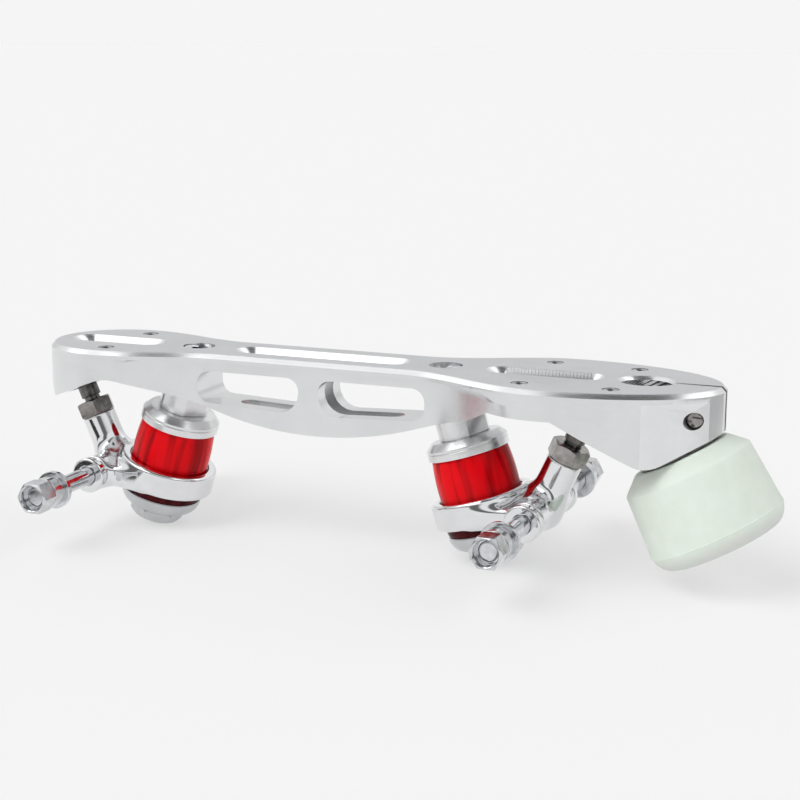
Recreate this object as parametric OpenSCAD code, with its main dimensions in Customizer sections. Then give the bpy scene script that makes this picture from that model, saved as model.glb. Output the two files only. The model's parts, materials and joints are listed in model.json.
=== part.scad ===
/* [Plate outline] */
// Wheelbase centre to the heel end of the plate
heel_reach = 113; // [111:0.5:117]
// Wheelbase centre to the tip of the toe
toe_reach = 153.4; // [151.5:0.5:157]
// Half width at the widest place of the heel
heel_half_w = 26.2; // [24:0.2:29]
// Half width along the waist
waist_half_w = 15.6; // [14:0.2:18]
// Half width at the widest place of the toe
toe_half_w = 32.8; // [31:0.2:36]
// Length of the rounded heel end
heel_round = 29; // [25:0.5:33]
// Length of the rounded nose
toe_round = 60.4; // [56:0.5:64]
// Wheelbase centre to the heel end of the waist
waist_heel_x = 36; // [30:0.5:42]
// Wheelbase centre to the toe end of the waist
waist_toe_x = 39; // [34:0.5:44]
// Bevel round the edge of the deck
deck_bevel = 1.6; // [0.8:0.1:2.4]
// Thickness of the deck's edge
deck_edge = 3; // [2.5:0.1:3.6]
// Deck to the foot of the slope from the deck's edge to the keel
keel_drop = 6.4; // [5:0.1:7]
// Half width of the keel along the waist
keel_half_w = 10.2; // [9.6:0.1:11.5]
// Wheelbase centre to the heel end of the keel's waist
keel_heel_x = 44; // [40:0.5:47]
// Wheelbase centre to the toe end of the keel's waist
keel_toe_x = 46; // [42:0.5:49]

/* [Plate side] */
// Upright part of the heel end below the deck
heel_end_h = 10.5; // [8:0.5:13]
// Slope of the lower part of the heel end, from upright
heel_end_slope = 40; // [34:1:44]
// Slope of the pad under the heel pivot
heel_pad_slope = 21; // [18:0.5:24]
// Radius of the hollow between heel pivot and kingpin
heel_top_r = 13; // [6:0.5:16]
// Deck to the heel kingpin pad, along the kingpin
heel_seat_s = 18.1; // [17.2:0.1:19.5]
// Deck to the toe kingpin pad, along the kingpin
toe_seat_s = 19.3; // [18.4:0.1:20.4]
// Radius of the belly
belly_r = 136; // [120:1:142]
// Length of the kingpin pads beyond the kingpin
pad_reach = 10.6; // [9.8:0.1:11.5]
// Thickness of the toe over the axle
toe_t = 10.5; // [9.5:0.1:12]
// Toe axle back to the corner where the flat under the toe starts
toe_flat_back = 12.65; // [10.2:0.05:15]
// Toe stop at the deck back to the corner where the toe pivot pad starts
toe_pad_back = 24.3; // [22:0.1:27]
// Slope of the pad under the toe pivot
toe_pad_slope = 27.5; // [25:0.5:29]
// Radius of the corner behind the toe stop
toe_corner_r = 9; // [5:0.5:12]

/* [Plate openings] */
// Deck to the top edge of the side windows
window_top = 7.55; // [7:0.05:8.5]
// Height of the outer ends of the side windows
window_h = 12; // [10:0.1:12.6]
// Height of the inner ends of the side windows
window_inner_h = 13.8; // [11:0.1:14.5]
// Wheelbase centre to the inner ends of the side windows
window_inner_x = 3.9; // [3:0.1:6]
// Kingpin at the deck to the outer end of a side window
window_king_gap = 4.35; // [3.75:0.05:8.75]
// Radius of the large inner corner of the side windows
window_sweep_r = 8.2; // [6:0.1:8.4]
// Radius of the other corners of the side windows
window_r = 5; // [3:0.1:5.2]
// Length of the middle slot
mid_slot_l = 71.5; // [70:0.5:76]
// Centre of the middle slot
mid_slot_x = 1; // [0:0.1:1.4]
// Half width of the middle slot
mid_slot_r = 6.5; // [5:0.1:7]
// Length of the slot through the keel
keel_slot_l = 67; // [50:0.5:69]
// Half width of the slot through the keel
keel_slot_r = 3.8; // [3:0.1:4.4]
// Length of the heel pocket
heel_pocket_l = 40.4; // [34:0.2:44]
// Heel end of the plate to the centre of the heel pocket
heel_pocket_back = 26.4; // [25:0.2:28]
// Half width of the heel pocket
heel_pocket_r = 7; // [5.5:0.1:8]
// Length of the toe pocket
toe_pocket_l = 44.6; // [38:0.2:46]
// Toe axle forward to the centre of the toe pocket
toe_pocket_ahead = 0.15; // [-1.5:0.05:1.5]
// Half width of the toe pocket
toe_pocket_r = 6.3; // [5:0.1:7]
// Depth of the slots in the deck
pocket_t = 4; // [3:0.1:5]

/* [Boot bolts] */
// Radius of the boot bolt holes
bolt_r = 2.6; // [2:0.05:3]
// Bevel at the mouth of the boot bolt holes
bolt_bevel = 0.5; // [0.2:0.05:0.9]
// Heel end of the plate to the heel bolts
heel_bolt_back = 31; // [29:0.2:33]
// Heel bolts from the centre line
heel_bolt_y = 16.85; // [15:0.05:18]
// Toe axle back to the middle bolts
mid_bolt_back = 2.45; // [0.25:0.05:5.25]
// Middle bolts from the centre line
mid_bolt_y = 21.2; // [18:0.1:23]
// Tip of the toe back to the toe bolts
toe_bolt_back = 35.5; // [34.4:0.1:38.4]
// Toe bolts from the centre line
toe_bolt_y = 19.75; // [17:0.05:21]

/* [Kingpin stack] */
// Axle to the kingpin at the deck, along the plate
king_in = 37.5; // [36.5:0.05:38.5]
// Tilt of the kingpin from upright
king_tilt = 17; // [16:0.25:18]
// Radius of the kingpin
king_r = 4; // [3.6:0.05:4.2]
// Radius of the kingpin head
king_head_r = 5.8; // [5.2:0.1:6.4]
// Height of the kingpin head
king_head_h = 2.8; // [2.4:0.1:3.4]
// Deck to the top of the kingpin head, along the kingpin
king_head_s = 2.2; // [2.1:0.05:3]
// Across the flats of the key socket in the kingpin head
king_key = 5; // [4:0.5:6]
// Depth of the key socket
king_key_t = 2; // [1.4:0.1:2.2]
// Radius of the kingpin collar
collar_r = 9.5; // [8.5:0.1:11]
// Across the spanner flats of the collar
collar_flat = 16.4; // [15:0.1:17]
// Turn of the spanner flats
collar_turn = -29; // [-45:1:45]
// Deck to the top of the upper cap, along the kingpin
cap_s = 26.5; // [25.5:0.1:28]
// Height of the upper cap
cap_h = 6.2; // [5:0.1:8]
// Radius of the upper cap
cap_r = 15.2; // [14.8:0.1:16.5]
// Bevel of the upper cap
cap_bevel = 2.4; // [1:0.1:3.5]
// Free height of the upper cushion
cushion_h = 18.8; // [17:0.1:21]
// Radius of the upper cushion at the cap
cushion_top_r = 14.5; // [13.5:0.1:14.8]
// Radius of the upper cushion at the truck
cushion_r = 15; // [14:0.1:15.6]
// Height of the lower cushion
low_cushion_h = 5.5; // [5:0.1:7]
// Radius of the lower cushion
low_cushion_r = 15.8; // [14.5:0.1:16]
// Height of the lower cup
cup_h = 6.3; // [5:0.1:8]
// Radius of the lower cup
cup_r = 15.7; // [15.4:0.1:16]
// Radius of the round of the lower cup
cup_round = 5.6; // [4:0.1:6]
// Across the flats of the kingpin nut
king_nut_flat = 18; // [16:0.1:19]
// Height of the kingpin nut
king_nut_h = 4.5; // [3.5:0.1:6]

/* [Trucks] */
// Tip of the toe back to the toe axle
toe_axle_back = 65.15; // [64.4:0.05:66]
// Heel end of the plate to the heel axle
heel_axle_back = 24.75; // [24:0.05:26]
// Deck to the axle
axle_drop = 50; // [49:0.1:51]
// Radius of the axle
axle_r = 3.5; // [3:0.05:4]
// Centre line to the end of the axle
axle_reach = 58.6; // [57:0.1:59]
// Radius of the truck ring
ring_r = 19; // [18.6:0.1:20.5]
// Height of the truck ring
ring_h = 9.7; // [9:0.1:10.6]
// Depth of the seat for the upper cushion
ring_seat_t = 3.2; // [2.4:0.1:3.8]
// Depth of the seat for the lower cushion
ring_low_seat_t = 2; // [1.5:0.1:2.4]
// Round of the lower edge of the ring
ring_round = 1.6; // [0.5:0.1:2]
// Radius of the barrel round the axle
barrel_r = 6.3; // [6:0.1:6.6]
// Radius of the hub discs
hub_r = 6.8; // [6.6:0.1:7.6]
// Width of the hub discs
hub_w = 3.6; // [2.5:0.1:5]
// Centre line to the face of the hub discs
hub_reach = 23.4; // [21:0.1:25]
// Radius of the shoulder behind the hub discs
shoulder_r = 6.6; // [6.4:0.1:7.2]
// Width of the neck between hub disc and barrel
shoulder_w = 1.6; // [1:0.1:2.5]
// Across the flats of the pivot arm
arm_flat = 13; // [11.5:0.1:14]
// Tilt of the pivot arm from upright
pivot_tilt = 24; // [23:0.25:25]
// Bare neck of the pivot pin between the lock nut and its head
pin_neck = 1.5; // [0.6:0.1:2.5]
// Across the flats of the lock nut
lock_nut_flat = 13; // [12:0.1:14]
// Height of the lock nut
lock_nut_h = 6.4; // [5:0.1:7]
// Radius of the thread of the pivot pin
pin_r = 3.1; // [2.8:0.05:3.4]
// Depth of the pivot pin in the arm
pin_depth = 9; // [7:0.1:10]
// Radius of the round head of the pivot pin
ball_r = 3.9; // [3.6:0.05:4.2]
// Height of the pivot pin's head below the pivot cup
head_l = 4.8; // [4:0.1:5.6]
// Flare of the mouth of the pivot cup
cup_flare = 0.6; // [0.45:0.05:0.8]
// Axle to the mouth of the pivot cup
pivot_l = 33.5; // [33:0.1:34.5]
// Mouth of the pivot cup to the centre of the ball
ball_in = 3.5; // [3:0.1:3.8]
// Wall of the pivot cup
pivot_cup_t = 2.2; // [1.6:0.1:2.6]
// Floor of the pivot cup
pivot_cup_floor = 1.2; // [0.8:0.1:1.6]
// Wall of the bosses that carry the pivot cups
pivot_boss_t = 1.5; // [1.2:0.1:1.8]

/* [Axle ends] */
// Across the flats of the axle nuts
axle_nut_flat = 11; // [10:0.1:12]
// Length of the axle nuts
axle_nut_l = 8; // [6.5:0.1:9]
// Depth of the hollow end of the axle nuts
axle_nut_hollow = 3.4; // [2.5:0.1:4]
// Radius of the hollow end of the axle nuts
axle_nut_hollow_r = 4.5; // [4.2:0.05:4.8]
// Length of the axle spacers
spacer_l = 6.2; // [4:0.1:7]
// Radius of the axle spacers
spacer_r = 5.8; // [5:0.1:6.5]
// Thickness of the axle washers
washer_t = 2.1; // [1:0.1:3]
// Radius of the axle washers
washer_r = 7.1; // [6.2:0.1:8]

/* [Toe stop] */
// Tip of the toe back to the toe stop, at the deck
stop_back = 28.7; // [27.4:0.1:29.4]
// Tilt of the toe stop from upright
stop_tilt = 28.5; // [27.5:0.25:30]
// Deck to the seat of the toe stop, along its stem
stop_seat_s = 27.3; // [26.5:0.1:28.5]
// Radius of the toe stop stem
stem_r = 7.94; // [7:0.02:8]
// Deck to the top of the stem, along the stem
stem_s = 5.5; // [4.6:0.1:8]
// Depth of the stem in the rubber
stem_in = 16; // [12:0.5:20]
// Radius of the disc moulded into the rubber
core_r = 14; // [11:0.2:16]
// Thickness of the disc moulded into the rubber
core_t = 3; // [2:0.1:4]
// Thickness of the washer under the plate
stop_washer_t = 1.2; // [0.8:0.1:2]
// Radius of the washer under the plate
stop_washer_r = 15; // [12:0.2:16]
// Radius of the top of the rubber
rubber_top_r = 17.5; // [16.5:0.1:19]
// Radius of the rubber at its upper corner
rubber_up_r = 23.5; // [22:0.1:25]
// Radius of the rubber at its lower crease
rubber_low_r = 25; // [23:0.1:26]
// Radius of the worn face of the rubber
rubber_face_r = 19.6; // [17:0.1:21]
// Height of the upper bevel of the rubber
rubber_bevel_h = 5.6; // [4:0.1:8]
// Height of the side of the rubber
rubber_side_h = 23.2; // [20:0.1:25]
// Height of the round foot of the rubber
rubber_foot_h = 6.2; // [4:0.1:7]
// Width of the clamp slit in the nose
slit_w = 1.2; // [0.8:0.1:2]
// Bevel at the mouth of the toe stop hole
stop_bevel = 1.2; // [0.6:0.1:2]

/* [Pinch bolt] */
// Tip of the toe back to the pinch bolt
pinch_back = 8; // [7.4:0.1:8.6]
// Deck to the pinch bolt
pinch_drop = 9.9; // [9:0.1:10.6]
// Radius of the pinch bolt
pinch_r = 2; // [1.6:0.05:2.2]
// Radius of the pinch bolt head
pinch_head_r = 2.9; // [2.6:0.05:3.2]
// Height of the pinch bolt head
pinch_head_h = 3.2; // [2.5:0.1:3.6]
// Depth of the bolt head under the face of the nose
pinch_sink = 4.4; // [4:0.1:5]
// Deck to the top of the milled flats on the nose
flat_drop = 3.4; // [2.5:0.1:4]
// Turn of the milled flats from the length of the plate
flat_turn = 37.2; // [36:0.2:38]
// Cut of the milled flats into the nose
flat_cut = 1.9; // [1:0.1:2.2]

/* [Fits] */
// Radial clearance of turning and sliding fits
fit_gap = 0.06; // [0.02:0.01:0.1]
// Radial clearance of fixed pins and threads
thread_gap = 0.02; // [0.01:0.01:0.05]
// Radial clearance of bolts in plain holes
hole_gap = 0.15; // [0.1:0.05:0.3]
// Clearance round the cushions in the truck ring
cushion_gap = 0.6; // [0.4:0.05:0.8]
// Clearance between the lower cup and the barrel of the truck
cup_gap = 1.4; // [1.2:0.1:1.6]
// Clearance round the kingpin in the truck ring
ring_gap = 1.8; // [1.4:0.1:2.4]

/* [Hidden] */
$fn = 96;
facet = 3;
over = 4;
arc_n = 12;
blend_n = 14;
nose_n = 16;
TOE = 1;
HEEL = -1;

// Places along the plate from the wheelbase centre, counted from its two ends
axle_x = toe_reach - toe_axle_back;
king_x = axle_x - king_in;
toe_flat_x = axle_x - toe_flat_back;
toe_pocket_x = axle_x + toe_pocket_ahead;
mid_bolt_x = axle_x - mid_bolt_back;
stop_x = toe_reach - stop_back;
pinch_x = toe_reach - pinch_back;
toe_bolt_x = toe_reach - toe_bolt_back;
toe_pad_x = stop_x - toe_pad_back;
heel_axle_x = heel_reach - heel_axle_back;
heel_pocket_x = heel_pocket_back - heel_reach;
heel_bolt_x = heel_bolt_back - heel_reach;
// The heel truck is the toe truck turned about, and moves in where the heel is shorter
heel_shift = axle_x - heel_axle_x;

// Stations along the kingpin, counted from the deck
collar_s = [heel_seat_s, toe_seat_s];
cushion_s = cap_s + cap_h;
ring_seat_s = cushion_s + cushion_h;
ring_s = ring_seat_s - ring_seat_t;
ring_end_s = ring_s + ring_h;
low_seat_s = ring_end_s - ring_low_seat_t;
cup_s = low_seat_s + low_cushion_h;
king_nut_s = cup_s + cup_h;
king_end_s = king_nut_s + king_nut_h;
web_s = (ring_seat_s + low_seat_s) / 2;
king_hole_r = king_r + hole_gap;

// Stations along the pivot arm, counted from the axle
arm_l = pivot_l - head_l - pin_neck - lock_nut_h;
ball_l = pivot_l + ball_in;
cup_bore_r = ball_r + fit_gap;
pivot_cup_r = cup_bore_r + pivot_cup_t;
pivot_bore_end = ball_l + ball_r + fit_gap;
pivot_cup_end = pivot_bore_end + pivot_cup_floor;
boss_r = pivot_cup_r + pivot_boss_t;
boss_end = pivot_cup_end + pivot_boss_t;

// Stations along the axle, counted from the centre line
nut_end = axle_reach + axle_nut_hollow - 0.5;
nut_y = nut_end - axle_nut_l;
spacer_y = nut_y - spacer_l;
washer_y = spacer_y - washer_t;
barrel_y = hub_reach - hub_w - shoulder_w;

// Stations along the toe stop, counted from the deck
rubber_s = stop_seat_s + stop_washer_t;
rubber_corner_s = rubber_s + rubber_bevel_h;
rubber_crease_s = rubber_corner_s + rubber_side_h;
rubber_end_s = rubber_crease_s + rubber_foot_h;
core_s = rubber_s + stem_in - core_t;
stop_bore_r = stem_r + fit_gap;

// Points of the plate seen from the side: x along the plate, z up from the deck
function king_point(s) = [king_x + s * sin(king_tilt), -s * cos(king_tilt)];
function stop_point(s) = [stop_x + s * sin(stop_tilt), -s * cos(stop_tilt)];
function line_cross(p, a, q, b) =
    let (x = (q.y - p.y + p.x * tan(a) - q.x * tan(b)) / (tan(a) - tan(b)))
    [x, p.y + (x - p.x) * tan(a)];
function heel_point(p) = [heel_shift - p.x, p.y];

pivot_mouth = [axle_x + pivot_l * sin(pivot_tilt), pivot_l * cos(pivot_tilt) - axle_drop];
heel_king = heel_point(king_point(heel_seat_s));
toe_king = king_point(toe_seat_s);
toe_pad = [toe_pad_x, -toe_t];
heel_end = [-heel_reach, -heel_end_h];
heel_corner = line_cross(heel_end, heel_end_slope - 90, heel_point(pivot_mouth), heel_pad_slope);
heel_top = line_cross(heel_point(pivot_mouth), heel_pad_slope, heel_king, -king_tilt);
belly = line_cross(heel_king, -king_tilt, toe_king, king_tilt);
toe_king_top = toe_king + pad_reach * [cos(king_tilt), sin(king_tilt)];
toe_flat = [toe_flat_x, -toe_t];
toe_corner = line_cross(toe_pad, -toe_pad_slope, stop_point(stop_seat_s), stop_tilt);
toe_front = line_cross(stop_point(stop_seat_s), stop_tilt, [toe_reach + over, 0], 89.99);

// The side outline as corners, each with the radius of its round
side_corners = [
    [[-heel_reach - over, 0], 0],
    [heel_end + over * [-1, tan(90 - heel_end_slope)], 0],
    [heel_corner, 1.2],
    [heel_top, heel_top_r],
    [belly, belly_r],
    [toe_king_top, 0],
    [toe_flat, 2],
    [toe_pad, 2],
    [toe_corner, toe_corner_r],
    [toe_front, 0],
    [[toe_reach + over, 0], 0]
];

// Where the part stands: its lowest point, and the middle of its length
stand_h = king_end_s * cos(king_tilt) + king_nut_flat / 2 * sin(king_tilt);
toe_end = max(concat([toe_reach], [for (p = rubber_side()) stop_point(-p.y).x + p.x * cos(stop_tilt)]));
heel_tip = max(heel_reach, heel_axle_x + boss_end * sin(pivot_tilt) + boss_r * cos(pivot_tilt));
mid_x = (toe_end - heel_tip) / 2;

// Frames

// The part's own frame: origin under the middle of the part, where it stands
module part_frame() {
    translate([-mid_x, 0, stand_h]) children();
}

// One truck's side: x points away from the wheelbase centre
module truck_frame(end) {
    part_frame() end_frame(end) children();
}

module end_frame(end) {
    translate([end == TOE ? 0 : heel_shift, 0, 0]) rotate([0, 0, end == TOE ? 0 : 180]) children();
}

// Along the kingpin: z is up it, zero at the deck
module king_frame() {
    translate([king_x, 0, 0]) rotate([0, -king_tilt, 0]) children();
}

// Along the pivot arm: z is up it, zero at the axle
module pivot_frame() {
    translate([axle_x, 0, -axle_drop]) rotate([0, pivot_tilt, 0]) children();
}

// Along the axle: z points to one side, zero at the centre line
module axle_frame() {
    translate([axle_x, 0, -axle_drop]) rotate([90, 0, 0]) children();
}

// Along the toe stop: z is up its stem, zero at the deck
module stop_frame() {
    translate([stop_x, 0, 0]) rotate([0, -stop_tilt, 0]) children();
}

// Across the nose along the pinch bolt, z towards the head
module pinch_frame() {
    translate([pinch_x, 0, -pinch_drop]) rotate([90, 0, 0]) children();
}

// Shapes

function mix(a, b, t) = a + (b - a) * t;
function ease(t) = (1 - cos(180 * t)) / 2;
function unit(v) = v / norm(v);

// A round of radius r at corner b between a and c
function corner_round(a, b, c, r) =
    r <= 0 ? [b] :
    let (
        u = unit(a - b),
        v = unit(c - b),
        half = acos(u * v) / 2,
        centre = b + unit(u + v) * r / sin(half),
        first = b + u * r / tan(half) - centre,
        last = b + v * r / tan(half) - centre,
        start = atan2(first.y, first.x),
        turn = (atan2(last.y, last.x) - start + 540) % 360 - 180,
        steps = max(5, ceil(abs(turn) * PI / 180 * r / facet))
    )
    [for (k = [0:steps]) centre + r * [cos(start + turn * k / steps), sin(start + turn * k / steps)]];

function rounded(corners) =
    let (n = len(corners))
    [for (i = [0:n - 1])
        each corner_round(corners[(i + n - 1) % n][0], corners[i][0], corners[(i + 1) % n][0], corners[i][1])];

// One side of the outline, from the heel end to the toe tip, drawn in by inset, with its waist
function outline_side(inset, half_w, waist_heel, waist_toe) =
    let (heel_x = heel_round - heel_reach, toe_x = toe_reach - toe_round)
    concat(
        [for (k = [0:arc_n])
            [heel_x - (heel_round - inset) * cos(90 * k / arc_n), (heel_half_w - inset) * sin(90 * k / arc_n)]],
        [for (k = [1:blend_n])
            [mix(heel_x, -waist_heel, k / blend_n), mix(heel_half_w, half_w, ease(k / blend_n)) - inset]],
        [for (k = [0:blend_n])
            [mix(waist_toe, toe_x, k / blend_n), mix(half_w, toe_half_w, ease(k / blend_n)) - inset]],
        [for (k = [1:nose_n])
            [toe_x + (toe_round - inset) * sin(90 * k / nose_n), (toe_half_w - inset) * cos(90 * k / nose_n)]]);

function both_sides(side) =
    let (n = len(side))
    concat(side, [for (i = [n - 2:-1:1]) [side[i].x, -side[i].y]]);

function deck_outline(inset) = both_sides(outline_side(inset, waist_half_w, waist_heel_x, waist_toe_x));
function keel_outline() = both_sides(outline_side(0, keel_half_w, keel_heel_x, keel_toe_x));

// A solid through outlines of as many points each, at the given heights from the lowest up
module stack(outlines, heights) {
    n = len(outlines[0]);
    m = len(outlines);
    points = [for (k = [0:m - 1]) each [for (p = outlines[k]) [p.x, p.y, heights[k]]]];
    sides = [for (k = [0:m - 2]) for (i = [0:n - 1])
        let (j = (i + 1) % n)
        each [[k * n + i, k * n + j, k * n + n + j], [k * n + i, k * n + n + j, k * n + n + i]]];
    floor_face = [[for (i = [n - 1:-1:0]) i]];
    roof_face = [[for (i = [0:n - 1]) (m - 1) * n + i]];
    polyhedron(points, concat(floor_face, sides, roof_face));
}

module hexagon(flat) {
    circle(r = flat / 2 / cos(30), $fn = 6);
}

// A hexagonal nut of height h standing on z = 0, its corners bevelled at both ends
module hex_nut(flat, h, bore_r) {
    corner = flat / 2 / cos(30);
    end_r = (corner + flat / 2) / 2;
    bevel = (corner - end_r) * tan(30);
    difference() {
        intersection() {
            linear_extrude(h) hexagon(flat);
            rotate_extrude() polygon([[0, 0], [end_r, 0], [corner, bevel], [corner, h - bevel],
                [end_r, h], [0, h]]);
        }
        translate([0, 0, -over]) cylinder(r = bore_r, h = h + 2 * over);
    }
}

// A tube from z0 to z1
module tube(outer_r, inner_r, z0, z1) {
    difference() {
        translate([0, 0, z0]) cylinder(r = outer_r, h = z1 - z0);
        translate([0, 0, z0 - over]) cylinder(r = inner_r, h = z1 - z0 + 2 * over);
    }
}

module slot_2d(l, r) {
    square([l - 2 * r, 2 * r], center = true);
    for (side = [-1, 1])
        translate([side * (l / 2 - r), 0]) circle(r = r);
}

// Plate

// The outlines stand out above the deck and below the belly, and the side outline cuts them off there
module plate_blank() {
    side = rounded(side_corners);
    depth = -belly.y;
    width = 2 * toe_half_w + 2 * over;
    intersection() {
        stack([keel_outline(), keel_outline(), deck_outline(0), deck_outline(0), deck_outline(deck_bevel + over)],
            [-depth, -keel_drop, -deck_edge, -deck_bevel, over]);
        rotate([90, 0, 0]) linear_extrude(width, center = true) polygon(side);
    }
}

module pivot_boss() {
    pivot_frame() translate([0, 0, pivot_l]) cylinder(r = boss_r, h = boss_end - pivot_l);
}

// The side windows are alike, mirrored about the wheelbase centre; the large round stays clear of the one above it
window_sweep = min(window_sweep_r, (window_inner_h - window_r) * 0.94);
function window_corners(end_x) = [
    [[end_x, -window_top], window_r],
    [[end_x, -window_top - window_h], window_r],
    [[window_inner_x, -window_top - window_inner_h], window_sweep],
    [[window_inner_x, -window_top], window_r]
];

module windows() {
    width = 2 * toe_half_w;
    for (side = [0, 1])
        mirror([side, 0, 0]) rotate([90, 0, 0]) linear_extrude(width, center = true)
            polygon(rounded(window_corners(king_x - window_king_gap - side * heel_shift)));
}

module deck_slots() {
    translate([mid_slot_x, 0, belly.y]) linear_extrude(-belly.y) slot_2d(keel_slot_l, keel_slot_r);
    for (p = [[mid_slot_x, mid_slot_l, mid_slot_r], [heel_pocket_x, heel_pocket_l, heel_pocket_r],
            [toe_pocket_x, toe_pocket_l, toe_pocket_r]])
        translate([p[0], 0, -pocket_t]) linear_extrude(pocket_t + over) slot_2d(p[1], p[2]);
}

module boot_bolt_holes() {
    for (p = [[heel_bolt_x, heel_bolt_y], [mid_bolt_x, mid_bolt_y], [toe_bolt_x, toe_bolt_y]], side = [-1, 1])
        translate([p.x, side * p.y, 0]) {
            translate([0, 0, belly.y]) cylinder(r = bolt_r, h = over - belly.y);
            translate([0, 0, -bolt_bevel])
                cylinder(r1 = bolt_r, r2 = bolt_r + 2 * bolt_bevel, h = 2 * bolt_bevel);
        }
}

module kingpin_hole(seat_s) {
    king_frame() {
        translate([0, 0, -seat_s - over]) cylinder(r = king_hole_r, h = seat_s + 2 * over);
        translate([0, 0, -king_head_s - king_head_h])
            cylinder(r = king_head_r + hole_gap, h = king_head_s + king_head_h + over);
    }
}

module pivot_hole() {
    pivot_frame() translate([0, 0, pivot_l - over])
        cylinder(r = pivot_cup_r + thread_gap, h = pivot_cup_end - pivot_l + over);
}

module toe_stop_hole() {
    rise = stop_bore_r * tan(stop_tilt);
    stop_frame() {
        translate([0, 0, -stop_seat_s - over]) cylinder(r = stop_bore_r, h = stop_seat_s + over + rise + over);
    }
    // The bevel starts inside the bore, so that its faces cross the bore's wall
    bevel_r = stop_bore_r - stop_bevel;
    translate([stop_x + stop_bevel * tan(stop_tilt), 0, -2 * stop_bevel])
        linear_extrude(3 * stop_bevel, scale = 1 + 3 * stop_bevel / bevel_r)
            scale([1 / cos(stop_tilt), 1]) circle(r = bevel_r);
    translate([stop_x, -slit_w / 2, belly.y]) cube([toe_reach - stop_x + over, slit_w, over - belly.y]);
}

// The milled flats on both sides of the nose, tangent to its outline and cut into it
module nose_flats() {
    toe_x = toe_reach - toe_round;
    reach = norm([toe_round * sin(flat_turn), toe_half_w * cos(flat_turn)]) - flat_cut;
    for (side = [0, 1])
        mirror([0, side, 0]) translate([toe_x, 0, belly.y]) rotate([0, 0, 90 - flat_turn])
            translate([reach, -toe_reach / 2, 0]) cube([toe_half_w, toe_reach, -belly.y - flat_drop]);
}

module pinch_hole() {
    pinch_frame() {
        translate([0, 0, -toe_half_w]) cylinder(r = pinch_r + hole_gap, h = 2 * toe_half_w);
        translate([0, 0, pinch_head_y]) cylinder(r = pinch_head_r + hole_gap, h = toe_half_w);
    }
}

module plate() {
    color("gainsboro") part_frame() difference() {
        union() {
            plate_blank();
            pivot_boss();
            end_frame(HEEL) pivot_boss();
        }
        windows();
        deck_slots();
        boot_bolt_holes();
        kingpin_hole(toe_seat_s);
        end_frame(HEEL) kingpin_hole(heel_seat_s);
        pivot_hole();
        end_frame(HEEL) pivot_hole();
        toe_stop_hole();
        nose_flats();
        pinch_hole();
    }
}

// Half width of the nose at the pinch bolt, where its head lies sunk in
nose_x = (pinch_x - toe_reach + toe_round) / toe_round;
nose_half_w = toe_half_w * sqrt(1 - nose_x * nose_x);
pinch_head_y = nose_half_w - pinch_sink - pinch_head_h;

module pinch_bolt() {
    color("dimgray") part_frame() pinch_frame() {
        translate([0, 0, -nose_half_w + pinch_sink]) cylinder(r = pinch_r, h = nose_half_w - pinch_sink + pinch_head_y);
        rotate_extrude() polygon([[0, pinch_head_y], [pinch_head_r, pinch_head_y],
            [pinch_head_r, pinch_head_y + pinch_head_h * 0.6], [pinch_head_r * 0.8, pinch_head_y + pinch_head_h * 0.9],
            [pinch_head_r * 0.5, pinch_head_y + pinch_head_h], [0, pinch_head_y + pinch_head_h]]);
    }
}

// Toe stop

module toe_stop_washer() {
    color("dimgray") part_frame() stop_frame()
        tube(stop_washer_r, stem_r + fit_gap, -rubber_s, -stop_seat_s);
}

module toe_stop_stem() {
    color("silver") part_frame() stop_frame() rotate_extrude()
        polygon([[0, -core_s - core_t], [core_r, -core_s - core_t], [core_r, -core_s], [stem_r, -core_s],
            [stem_r, -stem_s - 1], [stem_r - 1, -stem_s], [0, -stem_s]]);
}

// The foot of the rubber is a quarter of an ellipse from the crease to the worn face
function rubber_foot() = [for (k = [1:6])
    [rubber_face_r + (rubber_low_r - rubber_face_r) * cos(15 * k), -rubber_crease_s - rubber_foot_h * sin(15 * k)]];

function rubber_side() = concat(
    [[rubber_top_r, -rubber_s], [rubber_up_r, -rubber_corner_s], [rubber_low_r, -rubber_crease_s]], rubber_foot());

module toe_stop_rubber() {
    color("honeydew") part_frame() stop_frame() rotate_extrude()
        polygon(concat(
            [[stem_r, -core_s], [stem_r, -rubber_s]],
            rubber_side(),
            [[0, -rubber_end_s], [0, -core_s - core_t], [core_r, -core_s - core_t], [core_r, -core_s]]));
}

// Kingpin stack, alike on both trucks

module kingpin(end) {
    color("silver") truck_frame(end) king_frame() difference() {
        union() {
            translate([0, 0, -king_end_s]) cylinder(r = king_r, h = king_end_s - king_head_s - king_head_h);
            translate([0, 0, -king_head_s - king_head_h]) cylinder(r = king_head_r, h = king_head_h);
        }
        translate([0, 0, -king_head_s - king_key_t]) linear_extrude(king_key_t + over) hexagon(king_key);
    }
}

module collar(end) {
    s = end == TOE ? toe_seat_s : heel_seat_s;
    color("lightgray") truck_frame(end) king_frame() difference() {
        intersection() {
            translate([0, 0, -cap_s]) cylinder(r = collar_r, h = cap_s - s);
            rotate([0, 0, collar_turn])
                translate([-collar_flat / 2, -collar_r, -cap_s]) cube([collar_flat, 2 * collar_r, cap_s]);
        }
        translate([0, 0, -cap_s - over]) cylinder(r = king_hole_r, h = cap_s + 2 * over);
    }
}

module upper_cap(end) {
    color("lightgray") truck_frame(end) king_frame() rotate_extrude()
        polygon([[king_hole_r, -cap_s], [cap_r - cap_bevel, -cap_s], [cap_r, -cap_s - cap_bevel],
            [cap_r, -cushion_s], [king_hole_r, -cushion_s]]);
}

module upper_cushion(end) {
    color("red") truck_frame(end) king_frame() rotate_extrude()
        polygon([[king_hole_r, -cushion_s], [cushion_top_r, -cushion_s], [cushion_r, -ring_s],
            [cushion_r, -ring_seat_s], [king_hole_r, -ring_seat_s]]);
}

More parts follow.
